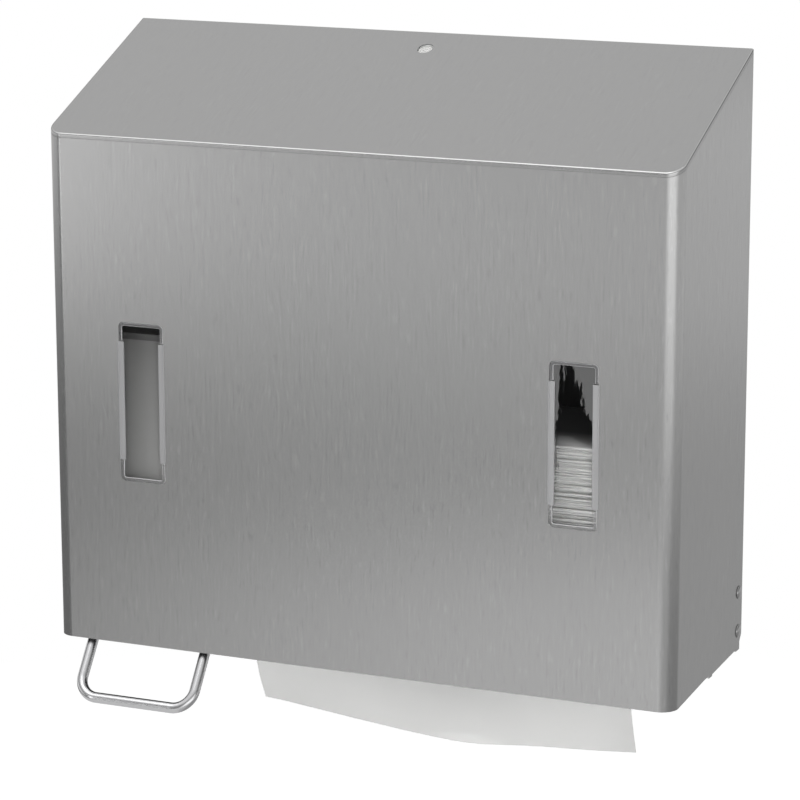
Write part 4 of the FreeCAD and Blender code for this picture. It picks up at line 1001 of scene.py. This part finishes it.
@dataclass
class Towels:
    """The folded stack on its tray, and the towel that hangs out of it."""

    finishes: Finishes
    middle: float = 37.5
    width: float = 250.0
    front: float = -120.0
    rear: float = -22.0
    low: float = 14.4
    high: float = 154.3
    count: int = 88
    seed: int = 11
    set_forward: tuple[int, ...] = (1, 4, 7, 14, 17, 19, 24, 28, 31, 32, 37, 41, 48, 55, 57, 66, 73)
    forward_step: float = 2.2
    forward_range: Pair = (-1.0, 2.6)
    forward_spread: float = 0.3
    sideways_spread: float = 0.5
    tip_spread: float = 0.25
    filled: float = 0.93
    sag: float = 0.21
    crown: float = 2.6
    top_y: float = -84.0
    top_z: float = 13.25
    drop: float = 61.0
    rise: float = 56.0
    fold: float = 94.0
    layer: float = 0.35
    foot_z: float = -45.0
    thickness: float = 0.22
    left_shift: float = -9.0
    corner_drop: float = 1.5
    corner_x: Pair = (146.0, 163.0)
    belly: Point = (-2.5, -3.5, 4.0)
    flare: Pair = (-1.9, 5.3)
    edge: Line = (
        (-90.0, -73.2), (-70.0, -77.4), (-25.0, -89.9), (20.0, -101.2), (50.0, -107.4), (69.0, -108.9),
        (80.0, -106.2), (104.0, -98.2), (146.0, -90.6), (158.0, -85.0), (168.0, -76.0))

    def build(self) -> None:
        """Make and hand over the stack and the hanging towel."""
        self.stack()
        self.hanging()

    def stack(self) -> None:
        """Pile up folded towels that differ a little in height and in how far they stand forward."""
        rng = random.Random(self.seed)
        half = self.width / 2
        shares = [rng.uniform(0.75, 1.3) for _ in range(self.count)]
        unit = (self.high - self.low) / sum(shares)
        one = Shape.block("one_towel", (-half, self.front, 0), (half, self.rear, 1))
        one.round_edges(lambda a, b: abs(a.x - b.x) > 1, 0.48, 2)
        for i in range(1, 6):
            one.enter()
            bpy.ops.mesh.bisect(plane_co=place(-half + self.width * i / 6, 0, 0), plane_no=(1, 0, 0))
            one.leave()
        pile: list[Shape] = []
        z = self.low
        for share in shares:
            pile.append(self.towel(one.copy(f"towel_{len(pile)}"), rng, len(pile), z, unit * share))
            z += unit * share
        bpy.data.objects.remove(one.obj)
        stack = pile[0].gather(*pile[1:])
        stack.obj.name = stack.obj.data.name = "folded_towels"
        stack.shade(35)
        stack.dress(self.finishes["paper"])
        # The front-facing faces get the darker paper: painted shade between the folds.
        stack.paint(self.finishes["fold"], lambda c, n: n.y < -0.4)
        # The stack's top faces: painted shade, darker towards the wall.
        stack.paint(self.finishes["crown"], lambda c, n: n.z > 0.8 and c.z > self.high - 0.6)
        stack.deliver(Body.FRAME, "towel_paper", "towel_stack")

    def towel(self, twin: Shape, rng: random.Random, index: int, z: float, thick: float) -> Shape:
        """Put one towel on the pile.

        Args:
            twin: A copy of the flat towel, one millimetre thick.
            rng: The pile's random numbers.
            index: How many towels lie under it.
            z: Where it lies.
            thick: Its thickness with the air over it.

        Returns:
            The same towel, shifted, tipped and crowned.
        """
        forward = rng.gauss(0, self.forward_spread)
        forward += self.forward_step if self.count - 1 - index in self.set_forward else 0.0
        sideways = rng.gauss(0, self.sideways_spread)
        tip = rng.gauss(0, self.tip_spread)
        phase = rng.uniform(0, 6.28)
        height = (z - self.low) / (self.high - self.low)
        middle_y, half_y = (self.front + self.rear) / 2, (self.rear - self.front) / 2
        least, most = self.forward_range
        for vertex in twin.obj.data.vertices:
            p = drawn(vertex.co)
            raised = self.crown * height ** 2 * (1 - ((p.y - middle_y) / half_y) ** 2)
            raised += self.sag * math.sin(phase + p.x * 0.022) + p.z * thick * self.filled
            shift = max(least, min(most, forward + tip * p.x / (self.width / 2)))
            vertex.co = place(p.x + self.middle + sideways, p.y + shift, z + raised)
        return twin

    def hanging(self) -> None:
        """One whole towel: a fold in the stack's foot and the part that hangs, bowed towards the room."""
        columns, rows = 60, 96
        clear_selection()
        bpy.ops.mesh.primitive_grid_add(x_subdivisions=columns, y_subdivisions=rows, size=1)
        sheet = Shape(bpy.context.object, "towel_in_hand_reach")
        total = self.drop + self.rise + 2 * self.fold
        for vertex in sheet.obj.data.vertices:
            vertex.co = place(*self.towel_point(vertex.co.x * 2, (vertex.co.y + 0.5) * total))
        sheet.modify("SOLIDIFY", thickness=self.thickness * MM, offset=0)
        sheet.shade(60)
        sheet.dress(self.finishes["paper"]).deliver(Body.FRAME, "towel_paper", "hanging_towel")

    def foot_y(self, x: float) -> float:
        """Where the hanging edge lies at a place across it: bowed out on both sides of a crease."""
        for (x0, y0), (x1, y1) in zip(self.edge, self.edge[1:]):
            if x <= x1 or (x1, y1) == self.edge[-1]:
                share = (x - x0) / (x1 - x0)
                return y0 + (y1 - y0) * share
        return self.edge[-1][1]

    def soft_foot_y(self, x: float) -> float:
        """The same, smoothed over a few millimetres."""
        return sum(self.foot_y(x + d) for d in (-6, -3, 0, 3, 6)) / 5

    def towel_point(self, s: float, t: float) -> Point:
        """Where a point of the flat towel lies.

        Args:
            s: Place across the towel, from -1 at the left to 1 at the right.
            t: Length along it from its lower edge.

        Returns:
            The place in drawing millimetres.
        """
        x = self.middle + s * self.width / 2
        left = max(0.0, -s)
        right = max(0.0, s)
        shift = self.left_shift * left ** 1.5
        if t < self.drop:
            down = 1 - t / self.drop
            top = self.top_y + shift
            start, end = self.corner_x
            foot_z = self.foot_z - self.corner_drop * min(1.0, max(0.0, (x - start) / (end - start))) ** 2
            even, at_left, at_right = self.belly
            belly = (even + at_left * left ** 2 + at_right * right ** 4) * math.sin(math.pi * down)
            y = top + (self.soft_foot_y(x) - top) * down + belly
            aside = (self.flare[1] * right ** 3 + self.flare[0] * left ** 3) * down ** 2
            return (x + aside, y, self.top_z + (foot_z - self.top_z) * down)
        along = t - self.drop
        rear, ahead = self.top_y + self.rise, self.top_y + self.rise - self.fold
        if along < self.rise:
            return (x, self.top_y + along + shift * (1 - along / self.rise), self.top_z)
        along -= self.rise
        if along < self.fold:
            return (x, rear - along, self.top_z + self.layer)
        return (x, ahead + (along - self.fold), self.top_z + 2 * self.layer)


@dataclass
class HingeRivets:
    """The four rivets through the hood's sides, with low domed heads on a short neck."""

    finishes: Finishes
    hood: Hood
    y: float = -7.3
    heights: Pair = (16.3, 41.6)
    head: float = 4.3
    rim: float = 0.25
    dome: float = 1.05
    neck: float = 3.3
    shank: float = 1.8
    tail: Line = ((3.1, 3.0), (2.6, 4.0), (0.0, 4.0))

    def build(self) -> None:
        """Turn one rivet for each of the four places and hand them over."""
        made = []
        for side in (-1, 1):
            x = side * self.hood.width / 2
            turns = [math.radians(15 * i) for i in range(7)]
            head = [(self.head * math.sin(a), self.rim + self.dome * math.cos(a)) for a in turns]
            stem = [(self.head, self.rim), (self.neck, self.rim), (self.neck, 0.0), (self.shank, 0.0)]
            foot = [(self.shank, -self.tail[0][1])] + [(radius, -deep) for radius, deep in self.tail]
            profile = [(radius, x + side * out) for radius, out in head + stem + foot]
            made += [Shape.turned("hood_side_rivets", profile, Axis.X, (self.y, z), 40) for z in self.heights]
        rivets = made[0].gather(*made[1:])
        rivets.shade(30).dress(self.finishes["rivet"]).deliver(Body.HOOD, "rivet_metal", "hinge_rivets")


@dataclass
class SoapTank:
    """The milky tank with soft edges, and its flip lid with a rim over the tank's mouth, the rim's front
    darker as painted shade.
    """

    finishes: Finishes
    rim_low: Point = (-203.5, -123.0, 196.4)
    rim_high: Point = (-104.5, -122.25, 199.4)

    def build(self) -> None:
        """Soften the tank and hand both over."""
        tank = Shape.of_node("milky_soap_tank", "soap_tank")
        tank.soften(0.9, 3, 60)
        tank.dress(self.finishes["tank"]).deliver(Body.TANK, "tank_plastic", "soap_tank")
        lid = Shape.of_node("flip_lid_of_tank", "tank_lid")
        lid.fuse(Shape.block("rim_in_front", self.rim_low, self.rim_high))
        lid.soften(0.35, 3, 60)
        lid.dress(self.finishes["tank"])
        # The lid's top keeps the tank's colour, its front rim the dark plastic: painted shade.
        lid.paint(self.finishes["lid"], lambda c, n: c.y < self.rim_high[1] + 1.25 and n.y < -0.3)
        lid.deliver(Body.LID, "tank_plastic", "tank_lid")


SLOT_FINISHES = {
    "hood_steel": "hood", "inner_steel": "inner", "rivet_metal": "rivet", "pin_steel": "pin",
    "bow_steel": "bow", "spring_steel": "spring", "window_plastic": "window", "tank_plastic": "tank",
    "pump_plastic": "pump", "rocker_plastic": "rocker", "lock_plastic": "lock", "latch_plastic": "latch",
    "seal_rubber": "rubber", "towel_paper": "paper"}


class Rounding(Enum):
    """How far a piece's edges are rounded, in mm, and from which angle on."""

    SHEET = (0.12, 2, 55.0)
    TURNED = (0.12, 2, 62.0)
    MOULDED = (0.3, 3, 62.0)
    WIRE = (0.0, 0, 0.0)


@dataclass(frozen=True)
class InnerPiece:
    """One piece behind the hood: its node, name, body, record slot and rounding."""

    node: str
    name: str
    body: Body
    slot: str
    rounding: Rounding

    def build(self, finishes: Finishes) -> Shape:
        """Round the edges of a copy of the node, dress it and hand it over."""
        shape = Shape.of_node(self.name, self.node)
        width, segments, angle = self.rounding.value
        if segments:
            shape.soften(width, segments, angle)
        else:
            shape.shade(60)
        shape.dress(finishes[SLOT_FINISHES[self.slot]])
        if self.rounding is Rounding.SHEET:
            shape.paint(finishes["cut_edge"], self.is_cut_edge)
            # Faces towards the wall get the lighter steel, without the inner steel's painted shade.
            shape.paint(finishes["wall_side"], lambda c, n: n.y > 0.9 and c.y > -2.5)
        shape.deliver(self.body, self.slot, self.node)
        return shape

    def is_cut_edge(self, centre: Vector, normal: Vector) -> bool:
        """True for the faces of a rounded edge, which point along no axis."""
        return max(abs(normal.x), abs(normal.y), abs(normal.z)) < 0.93


INNER_PIECES = {
    (Body.FRAME, "inner_steel", Rounding.SHEET): {
        "back_plate": "wall_plate", "partition_wall": "partition_sheet", "towel_tray": "tray_sheet",
        "towel_side_guide": "side_guide_sheet", "pump_shelf": "pump_shelf_sheet",
        "latch_keeper": "keeper_strip"},
    (Body.HOOD, "inner_steel", Rounding.SHEET): {
        "hinge_bracket_left": "left_hinge_plate", "hinge_bracket_right": "right_hinge_plate",
        "lever_bracket": "lever_bracket_sheet"},
    (Body.FRAME, "rivet_metal", Rounding.TURNED): {
        "keeper_rivets": "keeper_strip_rivets", "frame_rivets": "sheet_rivets"},
    (Body.FRAME, "pin_steel", Rounding.TURNED): {"hinge_pins": "shoulder_pins"},
    (Body.HOOD, "pin_steel", Rounding.TURNED): {
        "lever_axle": "rocker_axle", "axle_clips": "axle_end_clips", "bracket_nuts": "lever_bracket_nuts",
        "lock_nuts": "lock_housing_nuts", "latch_pin": "latch_pivot_pin"},
    (Body.LEVER, "pin_steel", Rounding.TURNED): {"bow_set_screws": "bow_screws"},
    (Body.TANK, "pin_steel", Rounding.TURNED): {"lid_hinge_pin": "lid_pin"},
    (Body.FRAME, "rocker_plastic", Rounding.MOULDED): {"hinge_bushes": "pin_bushes"},
    (Body.FRAME, "pump_plastic", Rounding.MOULDED): {
        "pump_body": "pump_cylinder", "pump_ring_nut": "shelf_nut_of_pump", "pump_cap": "ribbed_pump_cap"},
    (Body.PISTON, "pump_plastic", Rounding.MOULDED): {"pump_piston": "piston_and_stem"},
    (Body.LEVER, "rocker_plastic", Rounding.MOULDED): {"lever_rocker": "rocker_and_fork"},
    (Body.HOOD, "lock_plastic", Rounding.MOULDED): {"lock_housing": "lock_cage"},
    (Body.FRAME, "seal_rubber", Rounding.WIRE): {"inlet_valve": "umbrella_valve"},
    (Body.PISTON, "seal_rubber", Rounding.WIRE): {"piston_seal": "piston_ring_seal"},
    (Body.TANK, "seal_rubber", Rounding.WIRE): {"tank_outlet_seal": "spigot_ring_seal"},
    (Body.PISTON, "seal_rubber", Rounding.MOULDED): {"nozzle_tip": "rubber_outlet"},
}


@dataclass
class Inside:
    """Everything behind the hood: sheets, pump, lever, lock, hinges, springs and seals."""

    finishes: Finishes
    hood: Hood
    squeeze: float = 0.6
    spring_top: Point = (-147.0, -86.0, 62.0)
    latch_pivot: Point = (0.0, -27.579, 357.141)
    leg_start: float = 2.4
    leg_end: float = 3.4
    button_radius: float = 4.6
    button_foot: float = -4.0
    button_top: float = -1.45
    groove_radii: tuple[float, ...] = (3.7, 1.8)
    groove_width: float = 0.9
    groove_depth: float = 0.8

    def build(self) -> None:
        """Hand over all pieces, and give the pump's spring a mesh of its own."""
        for (body, slot, rounding), nodes in INNER_PIECES.items():
            for node, name in nodes.items():
                InnerPiece(node, name, body, slot, rounding).build(self.finishes)
        self.latch()
        spring = InnerPiece("pump_spring", "pump_return_spring", Body.FRAME, "spring_steel", Rounding.WIRE)
        shape = spring.build(self.finishes)
        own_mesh(shape.obj)
        self.latch_spring()

    def latch(self) -> None:
        """The latch with its white button, ringed like a target, that fills the key slot from below."""
        latch = Shape.of_node("white_latch", "latch_hook")
        floor = self.button_top - self.groove_depth
        profile = [(0.0, self.button_foot), (self.button_radius, self.button_foot),
                   (self.button_radius, self.button_top)]
        for outer in self.groove_radii:
            inner = outer - self.groove_width
            profile += [(outer, self.button_top), (outer, floor), (inner, floor), (inner, self.button_top)]
        profile.append((0.0, self.button_top))
        button = Shape.turned("button", profile, Axis.Z, (0.0, 0.0), 48)
        latch.fuse(button.transform(self.hood.on_slope(self.hood.slot_from_back)))
        latch.soften(0.12, 2, 62).dress(self.finishes["latch"])
        latch.deliver(Body.LATCH, "latch_plastic", "latch_hook")

    def latch_spring(self) -> None:
        """The torsion spring, shaded and dressed, with its node hidden and its placing baked into its mesh.
        """
        shape = Shape.of_node("latch_torsion_spring", "latch_spring")
        shape.shade(60).dress(self.finishes["spring"])
        clear_selection()
        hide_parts("latch_spring")
        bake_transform(shape.obj)


@dataclass(frozen=True)
class Panel:
    """One part of the room that steel mirrors.

    It lies at an azimuth from the front, positive to the right. Sideways it is full up to inner degrees from
    there and ends at outer degrees; upwards it starts over low and ends over high.
    """

    azimuth: float
    inner: float
    outer: float
    low: Pair
    high: Pair
    grey: float

    def lay(self, nodes: Nodes, under: Socket, level: Socket, height: Socket) -> Socket:
        """Lay the panel over what is there already, with soft edges.

        Args:
            nodes: The world's node writer.
            under: The grey so far.
            level: The direction without its height.
            height: The direction's height in degrees.

        Returns:
            The new grey.
        """
        turn = math.radians(self.azimuth)
        near = nodes.add("VectorMath", {0: level, 1: (math.sin(turn), -math.cos(turn), 0)},
                         operation="DOT_PRODUCT").outputs["Value"]
        edges = (math.cos(math.radians(self.outer)), math.cos(math.radians(self.inner)))
        mask = nodes.math("MULTIPLY", self.step(nodes, near, edges), self.step(nodes, height, self.low))
        mask = nodes.math("MULTIPLY", mask, self.step(nodes, height, self.high[::-1]))
        return nodes.mix(mask, under, self.grey)

    def step(self, nodes: Nodes, value: Socket, ends: Pair) -> Socket:
        """A soft step from 0 to 1 between two values."""
        return nodes.span(value, ends, interpolation_type="SMOOTHSTEP")


# What steel mirrors, by height in degrees, and the panels in front of it: together they give the steel
# the tones of the photograph from the front, and others from elsewhere.
ROOM = ((-40.0, 0.72), (-24.0, 0.80), (-18.0, 1.00), (-16.3, 1.21), (-14.8, 0.26), (-13.3, 0.62),
        (-11.6, 0.88), (-10.0, 0.78), (-8.5, 0.79), (-6.0, 0.52), (1.0, 0.27), (25.0, 0.28), (40.0, 0.82))
PANELS = (
    Panel(-85, 42, 55, (-26, -21), (-13.5, -6), 0.25),
    Panel(-97, 38.5, 49, (-11, -8.5), (11, 17), 0.85),
    Panel(-40, 5.5, 16, (-24, -19.5), (-10, -2.5), 0.25),
    Panel(-34, 1.7, 4, (-12.3, -10.2), (17, 23), 2.9),
    Panel(40, 13, 39.5, (-15.3, -11), (12, 22), 1.5),
    Panel(71, 38, 74, (-92, -91), (-15, -12.5), 0.57),
    Panel(109, 40, 66, (-92, -91), (-16.6, -14.5), 0.36),
    Panel(169, 20, 28, (-92, -91), (-16.4, -6), 0.50),
    Panel(-26, 46, 60, (49, 57), (80, 90), 2.3),
    Panel(145, 55, 75, (27, 38), (70, 80), 0.78),
)


@dataclass
class Stage:
    """Floor, world, lamps and camera."""

    hood: Hood
    lens: float = 152.69
    azimuth: float = 23.378
    elevation: float = 13.144
    roll: float = -0.124
    target: Pair = (-25.9, 142.6)
    distance: float = 2202.6
    soft_strength: float = 0.22
    floor_z: float = -1.15
    floor_radius: float = 3.0
    floor_glow: float = 0.78
    spot_target: Point = (133.0, -115.0, 155.0)
    spot_from: Pair = (21.0, 53.0)
    spot_distance: float = 2.2
    spot_power: float = 330.0
    spot_width: float = 3.0
    spot_radius: float = 0.12
    strip_y: Pair = (0.6, 1.0)
    strip_low: float = 3.0
    strip_top: Pair = (361.5, 384.0)
    strip_side: float = 7.0

    def build(self) -> None:
        """Set up everything that isn't the object."""
        scene = bpy.context.scene
        scene.view_settings.view_transform = "Standard"
        self.world(scene)
        self.floor()
        self.lamps(scene)
        self.window_spot(scene)
        self.wall_line()
        self.camera(scene)

    def world(self, scene: bpy.types.Scene) -> None:
        """A pale studio all round: white where it is seen, graded panels where steel mirrors it."""
        world = bpy.data.worlds.new("Studio")
        scene.world = world
        world.use_nodes = True
        nodes = Nodes(world.node_tree)
        glossy = nodes.add("Background", {"Color": self.room(nodes), "Strength": 1.0})
        soft = nodes.add("Background", {"Color": (1, 1, 1, 1), "Strength": self.soft_strength})
        white = nodes.add("Background", {"Color": (1, 1, 1, 1), "Strength": 1.0})
        lit = nodes.add("MixShader", {0: nodes.add("LightPath").outputs["Is Glossy Ray"], 1: soft.outputs[0],
                                      2: glossy.outputs[0]})
        out = nodes.add("MixShader", {0: self.seen(nodes), 1: lit.outputs[0], 2: white.outputs[0]})
        nodes.add("OutputWorld", {"Surface": out.outputs[0]})

    def room(self, nodes: Nodes) -> Socket:
        """What steel mirrors: a graded room with the panels laid over it, by direction."""
        way = nodes.add("TexCoord").outputs["Generated"]
        height = nodes.math("ARCSINE", nodes.add("SeparateXYZ", {0: way}).outputs["Z"])
        height = nodes.math("DEGREES", height)
        level = nodes.vector("NORMALIZE", nodes.vector("MULTIPLY", way, (1, 1, 0)))
        lowest, highest = ROOM[0][0], ROOM[-1][0]
        ramp = nodes.add("ValToRGB", {"Fac": nodes.span(height, (lowest, highest))})
        while len(ramp.color_ramp.elements) < len(ROOM):
            ramp.color_ramp.elements.new(0.5)
        for element, (degrees, grey) in zip(ramp.color_ramp.elements, ROOM):
            element.position = (degrees - lowest) / (highest - lowest)
            element.color = (grey, grey, grey, 1)
        value = nodes.add("SeparateXYZ", {0: ramp.outputs[0]}).outputs["X"]
        for panel in PANELS:
            value = panel.lay(nodes, value, level, height)
        return value

    def seen(self, nodes: Nodes) -> Socket:
        """True for what the camera sees, also through something clear."""
        rays = nodes.add("LightPath").outputs
        return nodes.math("MAXIMUM", rays["Is Camera Ray"], rays["Is Transmission Ray"])

    def floor(self) -> None:
        """The room's pale floor, well below the unit on its wall."""
        clear_selection()
        bpy.ops.mesh.primitive_circle_add(vertices=96, radius=self.floor_radius,
                                          location=(0, 0, self.floor_z), fill_type="NGON")
        floor = bpy.context.object
        floor.name = "floor"
        material = bpy.data.materials.new("Pale floor")
        material.use_nodes = True
        nodes = Nodes(material.node_tree)
        matt = nodes.add("BsdfDiffuse", {"Color": (0.82, 0.82, 0.82, 1)})
        lift = nodes.add("Emission", {"Color": (1, 1, 1, 1), "Strength": self.floor_glow})
        both = nodes.add("AddShader", {0: matt.outputs[0], 1: lift.outputs[0]})
        out = nodes.add("MixShader", {0: self.seen(nodes), 1: matt.outputs[0], 2: both.outputs[0]})
        nodes.add("OutputMaterial", {"Surface": out.outputs[0]})
        floor.data.materials.append(material)
        floor.visible_glossy = False

    def lamps(self, scene: bpy.types.Scene) -> None:
        """Large soft lamps, which steel doesn't mirror: the room's panels stand for them there."""
        plans = [("key", (0.85, -1.75, 1.5), 1.0, 3.0), ("fill", (-1.8, -1.5, 0.5), 1.4, 11.0),
                 ("top", (-0.1, -0.75, 1.8), 1.0, 24.0), ("low", (0.75, -2.05, -0.7), 1.5, 7.0),
                 ("front", (0.95, -1.98, 0.15), 0.8, 16.5)]
        for name, at, size, power in plans:
            lamp = bpy.data.lights.new(name, "AREA")
            lamp.shape = "SQUARE"
            lamp.size = size
            lamp.energy = power
            obj = bpy.data.objects.new(name, lamp)
            scene.collection.objects.link(obj)
            obj.location = at
            obj.rotation_euler = (-Vector(at)).to_track_quat("-Z", "Y").to_euler()
            obj.visible_camera = False
            obj.visible_glossy = False

    def towards(self, azimuth: float, elevation: float) -> Vector:
        """Unit vector towards a place round the object, in degrees from the front and from level."""
        az, el = math.radians(azimuth), math.radians(elevation)
        return Vector((math.sin(az) * math.cos(el), -math.cos(az) * math.cos(el), math.sin(el)))

    def window_spot(self, scene: bpy.types.Scene) -> None:
        """A narrow lamp from above that falls on the stack's top edge through its window."""
        lamp = bpy.data.lights.new("window_spot", "SPOT")
        lamp.energy = self.spot_power
        lamp.spot_size = math.radians(self.spot_width)
        lamp.spot_blend = 1.0
        lamp.shadow_soft_size = self.spot_radius
        obj = bpy.data.objects.new("window_spot", lamp)
        scene.collection.objects.link(obj)
        away = self.towards(*self.spot_from)
        obj.location = place(*self.spot_target) + away * self.spot_distance
        obj.rotation_euler = (-away).to_track_quat("-Z", "Y").to_euler()
        obj.visible_glossy = False

    def wall_line(self) -> None:
        """What the wall keeps dark: a strip behind the hood's open rear edges, unseen by the camera."""
        material = bpy.data.materials.new("Wall line")
        material.use_nodes = True
        nodes = Nodes(material.node_tree)
        black = nodes.add("BsdfDiffuse", {"Color": (0.01, 0.01, 0.01, 1)})
        nodes.add("OutputMaterial", {"Surface": black.outputs[0]})
        near, far = self.strip_y
        low, high = self.strip_top
        half, wide = self.hood.width / 2 + 0.5, self.strip_side
        strips = [Shape.block("wall_line", (-half, near, low), (half, far, high))]
        for left in (-half - 0.5, half + 0.5 - wide):
            strips.append(Shape.block("wall_line_side", (left, near, self.strip_low),
                                      (left + wide, far, low)))
        strip = strips[0].gather(*strips[1:]).dress(material)
        strip.obj.visible_camera = False
        strip.obj.visible_glossy = False

    def camera(self, scene: bpy.types.Scene) -> None:
        """The camera at the photograph's viewing angle, without shift."""
        az, roll = math.radians(self.azimuth), math.radians(self.roll)
        back = self.towards(self.azimuth, self.elevation)
        right = Vector((math.cos(az), math.sin(az), 0))
        up = back.cross(right)
        turned_right = right * math.cos(roll) + up * math.sin(roll)
        turned_up = up * math.cos(roll) - right * math.sin(roll)
        data = bpy.data.cameras.new("camera")
        data.lens = self.lens
        data.sensor_width = 36.0
        data.clip_start, data.clip_end = 0.05, 60.0
        obj = bpy.data.objects.new("camera", data)
        scene.collection.objects.link(obj)
        matrix = Matrix((turned_right, turned_up, back)).transposed().to_4x4()
        matrix.translation = place(self.target[0], 0, self.target[1]) + back * (self.distance * MM)
        obj.matrix_world = matrix
        scene.camera = obj


def dress_frame(finishes: Finishes) -> None:
    """Give every node of the frame that still shows its finish."""
    for entry in frame["record"]["subparts"]:
        node = frame["nodes"][entry["node"]]
        node.data.materials.clear()
        node.data.materials.append(finishes[SLOT_FINISHES[entry["material_slot"]]])


def main() -> None:
    """Build the classes in order and report each piece."""
    logging.basicConfig(level=logging.INFO, format="%(message)s")
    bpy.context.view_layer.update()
    finishes = Finishes()
    dress_frame(finishes)
    hood = Hood(finishes)
    hood.build()
    LevelWindow(finishes, hood, "soap_level_window", "soap_window", -hood.window_x).build()
    LevelWindow(finishes, hood, "towel_level_window", "towel_window", hood.window_x, True).build()
    LeverBow(finishes).build()
    HingeRivets(finishes, hood).build()
    Towels(finishes).build()
    SoapTank(finishes).build()
    Inside(finishes, hood).build()
    Stage(hood).build()


if __name__ == "__main__":
    main()
